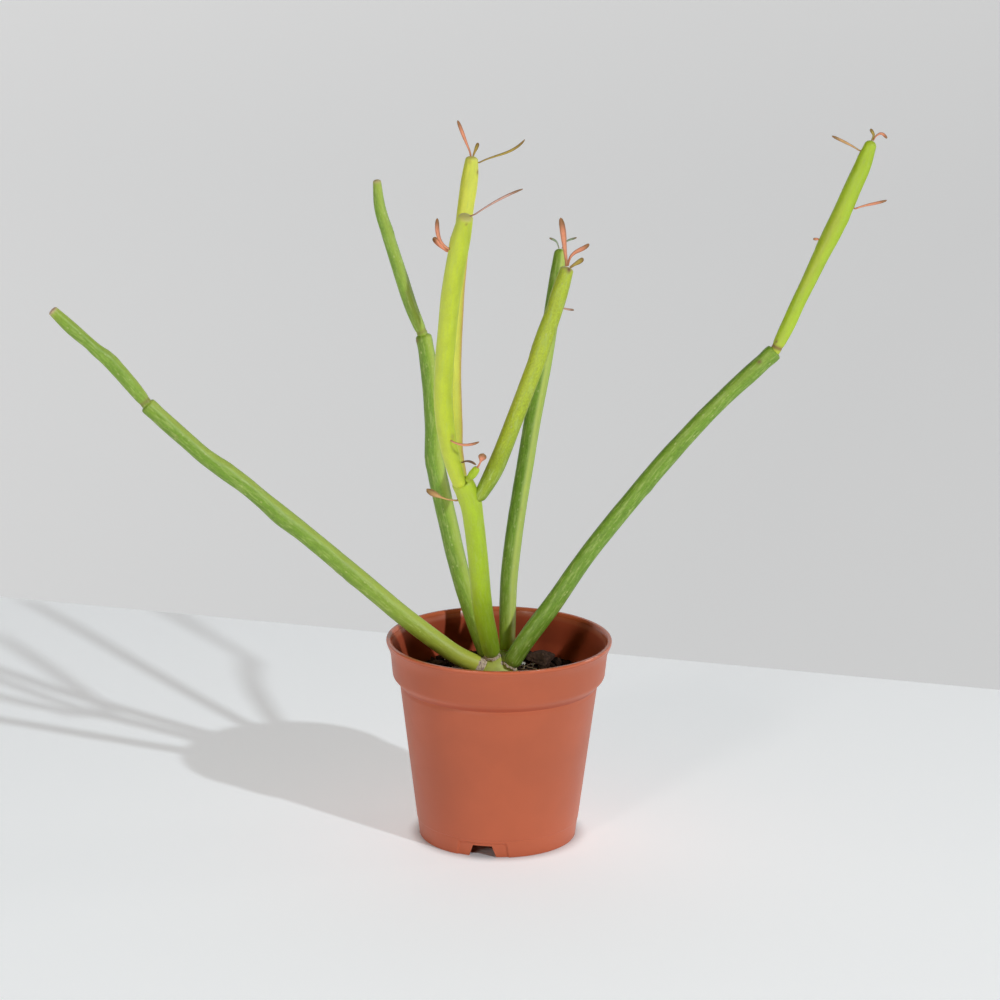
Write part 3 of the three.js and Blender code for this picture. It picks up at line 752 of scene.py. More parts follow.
def make_pot(settings):
    """The pot: its half section turned about its axis, with the skirt set back at each panel by
    a smooth step at the panel's edges, and the notches and drain holes cut out."""
    line = filled(pot_outline(settings.wall), 1.4)
    low = line[:, 1] < SKIRT_HEIGHT + 0.3
    outside = line[:, 0] > FOOT_RADIUS - settings.wall * 0.4
    at = np.flatnonzero(low & outside)
    skirt = filled(line[at], 0.3)
    on_skirt = np.repeat([0, 1, 0], [at[0], len(skirt), len(line) - at[-1] - 1])[:, None]
    line = np.concatenate([line[:at[0]], skirt, line[at[-1] + 1:]])
    height = line[:, 1:]
    angle = angles(POT_COLUMNS)
    sideways = np.abs(turn_gap(angle, NOTCH_TURNS[:, None])).min(0) * FOOT_RADIUS
    half_width = PANEL_HALF_WIDTH - PANEL_TAPER * height / PANEL_HEIGHT
    within = 1 - smooth_step(-0.16, 0.16, sideways - half_width)
    under_top = 1 - smooth_step(-0.12, 0.12, height - PANEL_HEIGHT)
    radius = line[:, :1] - settings.panel_depth * within * under_top * on_skirt
    grid = stacked(radius * np.cos(angle), radius * np.sin(angle), height) + POT_FOOT
    pot = add_piece(tube_mesh("nursery_pot", grid), pot_finish(settings), "pot_plastic", "pot")
    cut_away(pot, [*map(notch_cutter, NOTCH_TURNS), *map(drain_cutter, DRAIN_TURNS)])


# ---- stems --------------------------------------------------------------------------------
STEM_COLUMNS = 44
ROW_SPACING = 0.4
# What each stem looks like.
# heel: how far the centre of its foot is moved, in millimetres. sunk, grown: millimetres that
# its foot and its tip reach past those of its CAD stem. round, blunt: length of the rounding of
# its foot and of its tip, as shares of the radius there. waist, swell: how much thinner its foot
# is and how much thicker its tip, as shares of the radius. foot, tip: how pale it is there, and
# over how many millimetres that fades. ring: brown of the joint at its foot. cap: pink of its
# tip. sides: painted light on a side and, below zero, painted shade, as (strength, angle, half
# width). deep: how deep its green is from its foot to a share of its length. flush: a tan
# side, as (strength, angle, from, to), the last two as shares of the length. marks: leaf scars
# and bumps, as (share of the length, angle, size in millimetres, brown).
# Angles are in degrees round the stem: 0 is its right or upper side, -90 its front.
STEMS = {
    "left_arm_lower": {
        "skin": "green", "foot": (1.0, 17), "tip": (0.1, 5), "grown": 0.6, "blunt": 0.4,
        "swell": 0.1, "sides": [(0.75, -26, 34), (-0.6, -150, 44)], "marks": [
            (0.405, 180, 0.8, 1.0), (0.37, 165, 1.6, 0.0), (0.76, -20, 1.4, 0.1),
            (0.9, -100, 0.9, 0.2)]},
    "left_arm_upper": {
        "skin": "green", "sunk": 1.5, "waist": 0.2, "foot": (0.1, 4), "ring": 0.5,
        "tip": (0.3, 3), "blunt": 0.4, "cap": 0.9, "sides": [(0.55, -5, 50), (-0.2, 180, 30)],
        "marks": [(0.46, 5, 1.9, 0.1), (0.56, 175, 1.2, 0.1), (0.03, -40, 0.7, 0.5)]},
    "back_left_arm_lower": {
        "skin": "green", "foot": (0.3, 14), "tip": (0.1, 4), "grown": 0.6, "blunt": 0.5,
        "swell": 0.1, "sides": [(0.7, -48, 30), (-0.5, -155, 45)], "marks": [
            (0.62, 190, 1.5, 0.1), (0.3, -60, 0.9, 0.2), (0.985, -150, 1.0, 0.8)]},
    "back_left_arm_upper": {
        "skin": "green", "sunk": 1.5, "waist": 0.2, "foot": (0.1, 5), "ring": 0.4,
        "tip": (0.3, 3), "blunt": 0.6, "cap": 0.6, "sides": [(0.5, -60, 40)], "marks": [
            (0.68, 10, 1.2, 0.25), (0.3, -80, 0.7, 0.2)]},
    "middle_arm_lower": {
        "skin": "lime", "heel": (0.0, 0.0, 0.7), "round": 1.0, "sunk": 0.1, "foot": (0.35, 5),
        "tip": (0.35, 7), "grown": 1.2, "blunt": 0.5, "swell": 0.06, "deep": (0.75, 0.5),
        "sides": [(0.3, -150, 40)], "marks": [
            (0.9, 175, 1.1, 0.3), (0.5, -60, 0.8, 0.1), (0.9, 5, 3.2, 0.0)]},
    "middle_front_shoot": {
        "skin": "pear", "sunk": 2.2, "round": 1.0, "foot": (0.2, 6), "tip": (0.2, 4),
        "grown": 0.3, "blunt": 0.5, "cap": 0.45, "sides": [(0.6, -160, 60), (-0.2, -40, 30)],
        "marks": [(0.985, -75, 0.6, 0.6), (0.9, 170, 1.2, 0.3), (0.2, -50, 1.4, 0.3)]},
    "middle_rear_shoot": {
        "skin": "yellow", "sunk": 1.4, "foot": (0.3, 8), "tip": (0.0, 4), "blunt": 0.6,
        "cap": 0.3, "flush": (0.95, -2, 0.0, 0.8), "sides": [(0.4, -70, 30), (-0.2, -150, 30)],
        "marks": [(0.955, -25, 0.9, 0.9), (0.985, -110, 1.1, 0.3)]},
    "middle_bud": {
        "skin": "lime", "sunk": 1.0, "foot": (0.2, 2), "ring": 0.3, "tip": (0.2, 1),
        "sides": [], "marks": []},
    "middle_side_shoot": {
        "skin": "moss", "heel": (-1.1, 0.0, -0.3), "waist": 0.2, "round": 1.0, "sunk": 1.9,
        "foot": (0.0, 5), "tip": (0.2, 4), "blunt": 0.5, "cap": 0.4, "deep": (0.7, 0.55),
        "flush": (0.14, -170, 0.1, 0.75), "sides": [(0.3, -100, 40), (-0.3, -10, 35)], "marks": [
            (0.645, 170, 1.6, 0.4), (0.3, -90, 0.9, 0.15), (0.99, -75, 1.2, 1.0)]},
    "back_arm": {
        "skin": "green", "foot": (0.9, 8), "tip": (0.2, 5),
        "sides": [(0.9, -68, 15), (0.6, -40, 26), (-0.4, -155, 40)], "marks": [
            (0.35, -70, 0.9, 0.15), (0.86, 0, 1.0, 0.3), (0.6, 200, 1.0, 0.1)]},
    "right_arm_lower": {
        "skin": "green", "heel": (-0.6, 0.0, -0.2), "waist": -0.16, "round": 1.2, "sunk": 0.3,
        "foot": (0.2, 8), "tip": (0.0, 4), "grown": 1.0, "blunt": 0.35, "swell": 0.16,
        "deep": (0.35, 1.3), "sides": [(0.3, -115, 38), (-0.35, -20, 40), (-0.3, 180, 25)],
        "marks": [
            (0.955, -120, 0.9, 0.9), (0.95, -95, 0.6, 0.0), (0.55, 10, 1.2, 0.15),
            (0.3, -150, 0.9, 0.1)]},
    "right_arm_upper": {
        "skin": "lime", "heel": (-0.3, 0.0, -0.2), "waist": 0.25, "sunk": 2.0,
        "foot": (0.9, 2.5), "ring": 0.9, "tip": (0.1, 3), "blunt": 0.9,
        "flush": (0.14, -120, 0.3, 0.8), "sides": [(0.3, -90, 40), (-0.2, -10, 30)], "marks": [
            (0.06, -130, 0.8, 0.9), (0.51, 170, 0.9, 0.4), (0.65, 0, 1.0, 0.4),
            (0.93, 175, 1.0, 0.5)]},
}
STEM_SLOTS = {"green": "green_stem", "lime": "lime_stem", "moss": "lime_stem",
              "pear": "lime_stem", "yellow": "yellow_stem"}
# How uneven the colour of each kind of skin is.
MOTTLES = {"green": 1.6, "moss": 1.8, "lime": 0.5, "pear": 0.4, "yellow": 0.4}
FOOT_SUNK = 0.55
TIP_GROWN = 0.12
LUMP_LENGTH = 7.0  # of the slow noise along a stem
BUMP_HEIGHT = 0.16  # of the bump at a mark, as a share of the mark's size
DENT_DEPTH = 0.1  # of the dent in the middle of that bump, as the same share
WAIST_LENGTH = 3.5  # over which a thin foot widens
RING_RISE = 0.35  # from the end of the CAD stem to the brown of its joint


def stem_rows(length, foot_cap, tip_cap):
    """Distances along a stem: close together over its rounded ends, even between them."""
    cap = 1 - np.cos(np.linspace(0, math.pi / 2, 9)[1:])
    count = max(3, round((length - foot_cap - tip_cap) / ROW_SPACING))
    middle = np.linspace(foot_cap, length - tip_cap, count + 1)[1:-1]
    return np.concatenate([foot_cap * cap, middle, length - tip_cap * cap[::-1]])


def rounded_ends(s, length, foot_cap, tip_cap):
    """Share of the radius along a stem: quarter ellipses at its ends, 1 between them."""
    foot = np.clip(1 - s / foot_cap, 0, 1)
    tip = np.clip(1 - (length - s) / tip_cap, 0, 1)
    return np.sqrt(1 - np.maximum(foot, tip) ** 2)


def stem_line(node):
    """The centre line of a stem, lengthened at both ends: the distance along it, the centre and
    the radius at each of its points."""
    look = STEMS[node]
    centres, radii = stem_spine(node)
    foot, tip = unit(centres[0] - centres[1]), unit(centres[-1] - centres[-2])
    centres[0] += look.get("heel", 0.0) + foot * look.get("sunk", FOOT_SUNK)
    centres[-1] += tip * look.get("grown", TIP_GROWN)
    return reach_along(centres), centres, radii


def make_stem(node, look, settings, material):
    """A stem: a circle carried along its centre line. Its radius is that of the CAD stem, times
    the rounded ends, times 1 plus slow noise, plus a low bell-shaped bump at each mark."""
    knots, spine, spine_radii = stem_line(node)
    length = knots[-1]
    caps = look.get("round", 0.55) * spine_radii[0], look.get("blunt", 0.8) * spine_radii[-1]
    rows = stem_rows(length, *caps)
    centres = through(knots, spine, rows)
    base = through(knots, spine_radii, rows)[:, None]
    s = rows[:, None]
    share = s / length
    angle = angles(STEM_COLUMNS)
    seed = sorted(STEMS).index(node) * 11 + 5
    around = stacked(np.cos(angle) * 1.1, np.sin(angle) * 1.1, s / LUMP_LENGTH)
    radius = base * (1 + settings.lumpiness * rough(around, seed))
    scar = np.zeros_like(radius)
    for place, degrees, size, brown in look["marks"]:
        far = np.hypot((s - place * length) * 0.8, turn_gap(angle, degrees) * base)
        radius += size * (BUMP_HEIGHT * bell(far, size) - DENT_DEPTH * bell(far, size * 0.35))
        scar = np.maximum(scar, brown * bell(far, size * 0.5))
    radius *= 1 - look.get("waist", 0) * np.exp(-s / WAIST_LENGTH)
    radius *= 1 + look.get("swell", 0) * bell(length - s - 1.4, 1.9)
    if "ring" in look:
        from_ring = s - look.get("sunk", FOOT_SUNK) - RING_RISE
        scar = np.maximum(scar, look["ring"] * bell(from_ring, 0.55))
        radius *= 1 - 0.08 * bell(from_ring - 0.2, 0.5)
    radius *= rounded_ends(s, length, *caps)
    # Darker towards the foot by deep, then painted light and, below zero, painted shade on the
    # sides.
    strength, end = look.get("deep", (0, 1))
    sunny = -strength * (1 - smooth_step(0, end, share))
    for strength, degrees, half_width in look["sides"]:
        sunny = sunny + strength * bell(turn_gap(angle, degrees), math.radians(half_width))
    (foot_pale, foot_fade), (tip_pale, tip_fade) = look["foot"], look["tip"]
    pale = foot_pale * np.exp(-s / foot_fade) + tip_pale * np.exp(-(length - s) / tip_fade)
    # The pale foot fades where shade is painted.
    pale = np.clip(pale, 0, 1) * (1 + 0.7 * np.clip(sunny, -1, 0))
    strength, degrees, start, end = look.get("flush", (0, 0, 0, 1))
    span = smooth_step(start - 0.05, start + 0.05, share) * (1 - smooth_step(end - 0.2, end, share))
    flush = strength * span * bell(turn_gap(angle, degrees), 0.62)
    cap = look.get("cap", 0) * bell(length - s - 0.1, 0.6)
    skin = stacked(base * np.cos(angle), base * np.sin(angle), s + 40 * seed)
    grid = tube_points(centres, *sides_of(np.gradient(centres, rows, axis=0)),
                       radius * np.cos(angle), radius * np.sin(angle))
    mesh = tube_mesh(f"{node}_skin", grid, skin=skin, pale=pale, flush=flush, cap=cap, scar=scar,
                     sunny=sunny)
    add_piece(mesh, material, STEM_SLOTS[look["skin"]], node)


def make_stems(settings):
    """Every stem, with one material for each kind of skin."""
    skins = {skin: stem_finish(skin, settings, mottle) for skin, mottle in MOTTLES.items()}
    for node, look in STEMS.items():
        make_stem(node, look, settings, skins[look["skin"]])


# ---- leaves -------------------------------------------------------------------------------
# Which stem each leaf grows on, its kind, and how far its blade is turned about its midrib.
LEAVES = {
    "rear_shoot_tip_leaf": ("middle_rear_shoot", "orange", 20),
    "rear_shoot_tip_stub_leaf": ("middle_rear_shoot", "olive", -30),
    "rear_shoot_side_leaf": ("middle_rear_shoot", "olive", 30),
    "front_shoot_left_leaf_a": ("middle_front_shoot", "orange", 15),
    "front_shoot_left_leaf_b": ("middle_front_shoot", "orange", -25),
    "front_shoot_tip_leaf": ("middle_front_shoot", "pink", 35),
    "front_shoot_low_leaf": ("middle_front_shoot", "orange", 30),
    "front_shoot_base_leaf": ("middle_front_shoot", "brown", 10),
    "bud_leaf": ("middle_bud", "orange", 0),
    "middle_arm_leaf": ("middle_arm_lower", "sand", -20),
    "side_shoot_tip_leaf_tall": ("middle_side_shoot", "orange", 10),
    "side_shoot_tip_leaf_bent": ("middle_side_shoot", "orange", -15),
    "side_shoot_tip_leaf_short": ("middle_side_shoot", "olive", 15),
    "back_arm_tip_leaf_left": ("back_arm", "grey", 0),
    "back_arm_tip_leaf_right": ("back_arm", "grey", 20),
    "back_arm_side_leaf": ("back_arm", "pink", 0),
    "right_arm_left_leaf": ("right_arm_upper", "sand", 25),
    "right_arm_right_leaf": ("right_arm_upper", "orange", 20),
    "right_arm_hook_leaf": ("right_arm_upper", "orange", 0),
    "right_arm_tip_leaf_left": ("right_arm_upper", "olive", -20),
    "right_arm_tip_leaf_right": ("right_arm_upper", "orange", 10),
}
LEAF_COLUMNS = 20
LEAF_ROWS = 42
STALK_ROOT = 0.65  # where a stalk starts inside its stem, as a share of the stem's radius
# Half width along a leaf as a share of its greatest: most leaves, then those with a long stalk.
LEAF_WIDTHS = ([0.0, 0.12, 0.28, 0.42, 0.6, 0.78, 0.92, 0.98, 1.0],
               [0.45, 0.5, 0.58, 0.72, 0.94, 1.0, 0.8, 0.45, 0.12])
SPOON_WIDTHS = ([0.0, 0.12, 0.3, 0.5, 0.62, 0.76, 0.88, 0.96, 1.0],
                [0.4, 0.3, 0.26, 0.34, 0.7, 1.15, 1.1, 0.7, 0.15])
SPOONS = ("middle_arm_leaf", "bud_leaf")
LEAF_SLOTS = {"orange": "orange_leaf", "pink": "orange_leaf", "sand": "orange_leaf",
              "olive": "olive_leaf", "brown": "olive_leaf", "grey": "olive_leaf"}


def make_leaf(node, parent, kind, turn, settings, material):
    """A leaf: an oval section carried along the midrib. The section's half width follows the
    leaf's outline, and its sides rise by the cupping times the square of their distance out."""
    parent_knots, parent_spine, parent_radii = stem_line(parent)
    parent_at = np.linspace(0, parent_knots[-1] - 0.9, 400)
    parent_line = through(parent_knots, parent_spine, parent_at)
    midrib, half_width = leaf_spine(node, parent_line)
    nearest = np.argmin(np.linalg.norm(parent_line - midrib[0], axis=1))
    radius = np.interp(parent_at[nearest], parent_knots, parent_radii)
    outward = midrib[0] - parent_line[nearest]
    root = parent_line[nearest] + outward * min(1, STALK_ROOT * radius / np.linalg.norm(outward))
    midrib = np.concatenate([[root], midrib])
    knots = reach_along(midrib)
    rows = (1 - np.cos(np.linspace(0.06, math.pi - 0.06, LEAF_ROWS))) / 2
    centres = through(knots, midrib, rows * knots[-1])
    across, outward = sides_of(np.gradient(centres, rows, axis=0))
    outline = SPOON_WIDTHS if node in SPOONS else LEAF_WIDTHS
    width = half_width * through(*np.array(outline), rows)[:, None]
    share = rows[:, None]
    thick = np.maximum(0.2, 0.34 * width) * np.minimum(1, 0.25 + 6 * (1 - share))
    angle = angles(LEAF_COLUMNS)
    side = width * np.cos(angle)
    bowl = settings.cupping * smooth_step(0.3, 0.7, share) * width
    front = thick * np.sin(angle) - bowl * (np.cos(angle) ** 2 - 0.5)
    lean = math.radians(turn) * smooth_step(0.1, 0.9, share)
    side, front = (side * np.cos(lean) - front * np.sin(lean),
                   side * np.sin(lean) + front * np.cos(lean))
    skin = stacked(side, front, share * knots[-1] + len(node))
    grid = tube_points(centres, across, outward, side, front)
    mesh = tube_mesh(f"{node}_blade", grid, skin=skin, along=share, edge=np.abs(np.cos(angle)))
    add_piece(mesh, material, LEAF_SLOTS[kind], node)


def make_leaves(settings):
    """Every leaf, with one material for each kind."""
    blades = {kind: leaf_finish(kind, settings) for kind in LEAF_SLOTS}
    for node, (parent, kind, turn) in LEAVES.items():
        make_leaf(node, parent, kind, turn, settings, blades[kind])


# ---- crown --------------------------------------------------------------------------------
# How thick the cork at each arm's foot is along the arm, and how far it stands out, in
# millimetres.
CORK_RINGS = {
    "left_arm_lower": (1.15, 0.24),
    "back_left_arm_lower": (0.3, 0.1),
    "middle_arm_lower": (0.22, 0.05),
    "back_arm": (0.4, 0.2),
    "right_arm_lower": (0.25, 0.08),
}
ROOT_STUB = 7.5  # how far the knuckle reaches down into the potting mix
KNOB_PLACE = np.array([2.2, 1.0, 3.4])  # of the corky knob, from the crown's middle


def directions(rows, columns):
    """Unit vectors over a sphere, one row for each height from its bottom to its top."""
    tilt, turn = np.linspace(0.06, math.pi - 0.06, rows)[:, None], angles(columns)
    return stacked(np.sin(tilt) * np.cos(turn), np.sin(tilt) * np.sin(turn), -np.cos(tilt))


def make_crown(settings):
    """The knuckle: an egg shape whose surface swells in a bell towards the foot of each arm,
    with low noise, and a short stub of root under it. A ring of cork stands at each arm's foot."""
    finish = crown_finish(settings)
    centre = (CROWN_LOW + CROWN_HIGH) / 2
    half = (CROWN_HIGH - CROWN_LOW) / 2
    ball = directions(90, 130)
    half_height = np.where(ball[..., 2] > 0, half[2] * 1.03, ROOT_STUB)
    radius = 1 / np.linalg.norm(ball / stacked(*half[:2], half_height), axis=-1)
    arms = [stem_line(arm) for arm in CORK_RINGS]
    for _, line, _ in arms:
        distance = np.linalg.norm(line[0] - centre)
        lean = np.arccos(np.clip(ball @ unit(line[0] - centre), -1, 1))
        radius += np.clip(distance - radius + 0.2, 0, 1.6) * bell(lean, 0.5)
    radius += 0.07 * rough(ball * 3.1, 71)
    grid = centre + radius[..., None] * ball
    cork = 0.8 * smooth_step(0.0, -0.4, ball[..., 2])
    for _, line, radii in arms:
        tangent = unit(line[1] - line[0])
        along = (grid - line[0]) @ tangent
        out = np.linalg.norm(np.cross(grid - line[0], tangent), axis=-1)
        cork = np.maximum(cork, bell(np.hypot(out - radii[0], along), 0.6))
    add_piece(tube_mesh("crown_knuckle", grid, cork=cork), finish, "corky_crown", "crown")
    rings = [cork_ring(arm, *sizes, 90 + k) for k, (arm, sizes) in enumerate(CORK_RINGS.items())]
    corks = tube_mesh("cork_rings", *rings, corky_knob(centre + KNOB_PLACE), cork=1.0)
    add_piece(corks, finish, "corky_crown")


def cork_ring(arm, thick, out, seed):
    """A squat collar round a stem's foot: the outline of a low barrel turned about the stem's
    first stretch, roughened by noise that is long up the stem and short round it."""
    _, line, radii = stem_line(arm)
    tangent = unit(line[1] - line[0])
    turn = np.linspace(-math.pi / 2, math.pi / 2, 17)[:, None]
    angle = angles(110)
    around = stacked(np.cos(angle) * radii[0] * 2.6, np.sin(angle) * radii[0] * 2.6, turn * 0.4)
    barrel = radii[0] * 0.9 + out * np.cos(turn) ** 0.6
    radius = barrel * (1 + 0.06 * rough(around, seed))
    rise = thick * np.sin(turn) + 0.25 * lattice_noise(around * 0.5, seed + 9)
    foot = line[0] + tangent * FOOT_SUNK * 0.5
    ring = tube_points(foot, *sides_of(tangent), radius * np.cos(angle), radius * np.sin(angle))
    return ring + rise[..., None] * tangent


def corky_knob(place):
    """A small dry knob between the middle and back arms: a noisy ball, drawn upwards."""
    ball = directions(40, 48)
    radius = 1.15 * (1 + 0.3 * rough(ball * 2.4, 131, octaves=4))
    return place + radius[..., None] * ball * [0.6, 0.7, 1.3]


# ---- potting mix --------------------------------------------------------------------------
CRUMB_REACH = 24.2  # from the pot's axis to the outermost crumb
GRAIN_REACH = 23.5
FIBRE_REACH = 23.8
GRAINS = 46
FIBRES = 54
LITTER_SUNK = 0.35  # how far bark and white grains sit in the bed
LITTER_STRETCH = 1.15  # so that a broken block fills its box


def bed_height(x, y, lump):
    """Height of the bed at x and y from the pot's axis: noise in five sizes, sinking a little
    towards the wall and rising round the crown."""
    out = np.hypot(x, y)
    return (SOIL_TOP + lump * (0.55 * rough(stacked(x, y, 0.0) / 5.2, 41, octaves=5) - 0.15)
            - 0.3 * smooth_step(19, 25, out) + 0.7 * bell(out, 8))


def make_bed(settings):
    """The bed: a disc whose top is a height field in radius and angle, carried down the wall and
    closed underneath."""
    bore = wall_radius(SOIL_TOP) - 1.32
    low_radius = wall_radius(FLOOR_TOP + 1) - 1.45
    lowest = FLOOR_TOP + 0.15
    angle = angles(300)
    r = np.concatenate([[0.05], np.linspace(0.35, bore, 90)])[:, None]
    top = bed_height(r * np.cos(angle), r * np.sin(angle), settings.lumps)
    share = np.linspace(0.02, 1, 14)[:, None]
    side = top[-1] * (1 - share) + lowest * share
    under = low_radius * np.array([[0.5], [0.01]])
    r = np.concatenate([r, bore + (low_radius - bore) * share, under])
    z = np.concatenate([top, side, np.full((2, len(angle)), lowest)])
    grid = stacked(r * np.cos(angle), r * np.sin(angle), z)[::-1] + POT_FOOT
    mesh = tube_mesh("potting_mix_bed", grid, tone=0.35 + 0.3 * rough(grid / 1.7, 17))
    finish = soil_finish("potting_mix", settings, settings.dark_colour, settings.light_colour, 900)
    add_piece(mesh, finish, "potting_mix", "soil")
    return finish


GOLDEN = (1 + math.sqrt(5)) / 2
# The twenty-faced solid, for small crumbs.
CRUMB_POINTS = np.array([
    [-1, GOLDEN, 0], [1, GOLDEN, 0], [-1, -GOLDEN, 0], [1, -GOLDEN, 0],
    [0, -1, GOLDEN], [0, 1, GOLDEN], [0, -1, -GOLDEN], [0, 1, -GOLDEN],
    [GOLDEN, 0, -1], [GOLDEN, 0, 1], [-GOLDEN, 0, -1], [-GOLDEN, 0, 1],
]) / math.sqrt(1 + GOLDEN**2)
CRUMB_FACES = np.array([
    [0, 11, 5], [0, 5, 1], [0, 1, 7], [0, 7, 10], [0, 10, 11],
    [1, 5, 9], [5, 11, 4], [11, 10, 2], [10, 7, 6], [7, 1, 8],
    [3, 9, 4], [3, 4, 2], [3, 2, 6], [3, 6, 8], [3, 8, 9],
    [4, 9, 5], [2, 4, 11], [6, 2, 10], [8, 6, 7], [9, 8, 1],
])


def random_turns(rng, count):
    """Random rotation matrices, from unit quaternions."""
    w, x, y, z = unit(rng.normal(size=(4, count)).T).T
    return np.stack([
        1 - 2 * (y * y + z * z), 2 * (x * y - z * w), 2 * (x * z + y * w),
        2 * (x * y + z * w), 1 - 2 * (x * x + z * z), 2 * (y * z - x * w),
        2 * (x * z - y * w), 2 * (y * z + x * w), 1 - 2 * (x * x + y * y),
    ], -1).reshape(count, 3, 3)


def scattered(rng, sizes, spread, lump, lift):
    """Crumbs on the bed: the twenty-faced solid with every corner moved at random, stretched and
    turned, one of each size at places spread evenly over the disc."""
    count, corner_count = len(sizes), len(CRUMB_POINTS)
    out = spread * np.sqrt(rng.uniform(0.01, 1, count))
    angle = rng.uniform(0, FULL_TURN, count)
    x, y = out * np.cos(angle), out * np.sin(angle)
    shape = CRUMB_POINTS * rng.uniform(0.72, 1.25, (count, corner_count, 1))
    shape = shape * (sizes[:, None] * rng.uniform(0.6, 1.2, (count, 3)))[:, None]
    shape = np.einsum("nij,nkj->nki", random_turns(rng, count), shape)
    place = stacked(x, y, bed_height(x, y, lump) + lift * sizes) + POT_FOOT
    faces = CRUMB_FACES + corner_count * np.arange(count)[:, None, None]
    return (shape + place[:, None]).reshape(-1, 3), faces.reshape(-1, 3).tolist()


def make_crumbs(settings, finish):
    """Loose crumbs of many sizes, most of them small."""
    rng = np.random.default_rng(2024)
    sizes = np.clip(rng.lognormal(-0.85, 0.5, settings.crumbs), 0.16, 1.5)
    points, faces = scattered(rng, sizes, CRUMB_REACH, settings.lumps, 0.35)
    tone = np.repeat(rng.uniform(0, 1, len(sizes)), len(CRUMB_POINTS))
    mesh = write_mesh("loose_crumbs", points, faces, smooth=False, tone=tone)
    add_piece(mesh, finish, "potting_mix")


def broken_block(rng, half, ball):
    """A broken block: in each direction the nearest of a set of random flat faces bounds it, and
    noise makes those faces gritty."""
    normals = unit(rng.normal(size=(18, 3)))
    depth = rng.uniform(0.66, 1.0, 18)
    radius = (depth / np.maximum(ball @ normals.T, 1e-3)).min(-1)
    radius *= 1 + 0.045 * rough(ball * 3.4 + rng.uniform(0, 9, 3), int(rng.integers(999)), 5)
    return radius[..., None] * ball * half


def make_litter(settings):
    """Bark and white grains on the bed, each in the box of its CAD piece."""
    browns = settings.bark_dark_colour, settings.bark_light_colour
    kinds = {
        "bark": (soil_finish("bark", settings, *browns, 1300), directions(90, 140)),
        "perlite": (grain_finish("perlite", settings.perlite_colour), directions(36, 48)),
    }
    rng = np.random.default_rng(77)
    for node in sorted(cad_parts):
        kind = node.split("_")[0]
        if kind not in kinds:
            continue
        finish, ball = kinds[kind]
        low, high = corners(node)
        block = broken_block(rng, (high - low) / 2 * LITTER_STRETCH, ball)
        block = block + (low + high) / 2 - LITTER_SUNK * UPWARD
        mesh = tube_mesh(f"{node}_piece", block, tone=0.5 + 0.4 * rough(block / 1.3, 9))
        add_piece(mesh, finish, kind, node)
    points, faces = scattered(rng, rng.uniform(0.16, 0.42, GRAINS), GRAIN_REACH, settings.lumps, 0.8)
    grains = write_mesh("fine_grains", points, faces, smooth=False)
    add_piece(grains, kinds["perlite"][0], "perlite")


def make_fibres(settings):
    """Thin dry roots on the bed: each a narrow tube along a gently wandering line."""
    rng = np.random.default_rng(31)
    run = np.linspace(-0.5, 0.5, 22)
    taper = np.sqrt(np.clip(1 - (2 * run * 0.98) ** 4, 0.02, 1))[:, None]
    across, front = taper * np.cos(angles(6)), taper * np.sin(angles(6))
    fibres = []
    for _ in range(FIBRES):
        out, turn, heading = rng.uniform(4, 22), rng.uniform(0, FULL_TURN), rng.uniform(0, FULL_TURN)
        length, width = rng.uniform(2.5, 9.0), rng.uniform(0.05, 0.11)
        bend = heading + rng.uniform(-1.6, 1.6) * run + 0.5 * np.sin(run * rng.uniform(4, 11))
        x = out * math.cos(turn) + np.cumsum(np.cos(bend)) * length / len(run)
        y = out * math.sin(turn) + np.cumsum(np.sin(bend)) * length / len(run)
        keep_in = np.minimum(1, FIBRE_REACH / np.hypot(x, y))
        x, y = x * keep_in, y * keep_in
        arch = 0.35 + 0.5 * np.sin(math.pi * (run + 0.5))
        centres = stacked(x, y, bed_height(x, y, settings.lumps) + arch) + POT_FOOT
        level = stacked(-np.sin(bend), np.cos(bend), 0.0)
        fibres.append(tube_points(centres, level, UPWARD, width * across, width * front))
    finish = grain_finish("dry_fibre", settings.fibre_colour)
    add_piece(tube_mesh("dry_fibres", *fibres), finish, "perlite")


# ---- stage --------------------------------------------------------------------------------
TABLE_REACH = 1600.0  # of the table to the left, right and front
EDGE_BEHIND = 171.8  # from the pot's axis to the table's back edge
EDGE_SLOPE = -0.287  # how fast that edge comes nearer to the right
WALL_REACH = 4000.0
WALL_BEHIND = 2600.0
CAMERA_PLACE = np.array([-0.06, -965.6, 349.7])  # from the pot's foot


def stage_finish(name, colour, roughness, glow, bright, dim, dimmed):
    """A plain matt finish that also glows a little. The glow is a multiple of the colour that
    goes evenly from 1 at the bright place to dimmed at the dim place; places are in metres."""
    finish = Finish(name, Roughness=roughness, Specular_IOR_Level=0.3, Base_Color=colour,
                    Emission_Strength=glow)
    run = np.subtract(dim, bright)
    offset = finish.vector("SUBTRACT", finish.place(), bright)
    share = finish.vector("DOT_PRODUCT", offset, run / (run @ run), output=1)
    return finish, finish.mix(share.clamped(), colour, shade_of(colour, dimmed))


def stand(name, x, y, low, high, finish):
    """An upright block with a four-cornered outline, as part of the stage."""
    block = tube_mesh(name, stacked(x, y, [[low], [high]]), smooth=False)
    block.materials.append(finish.material)
    thing = linked(name, block)


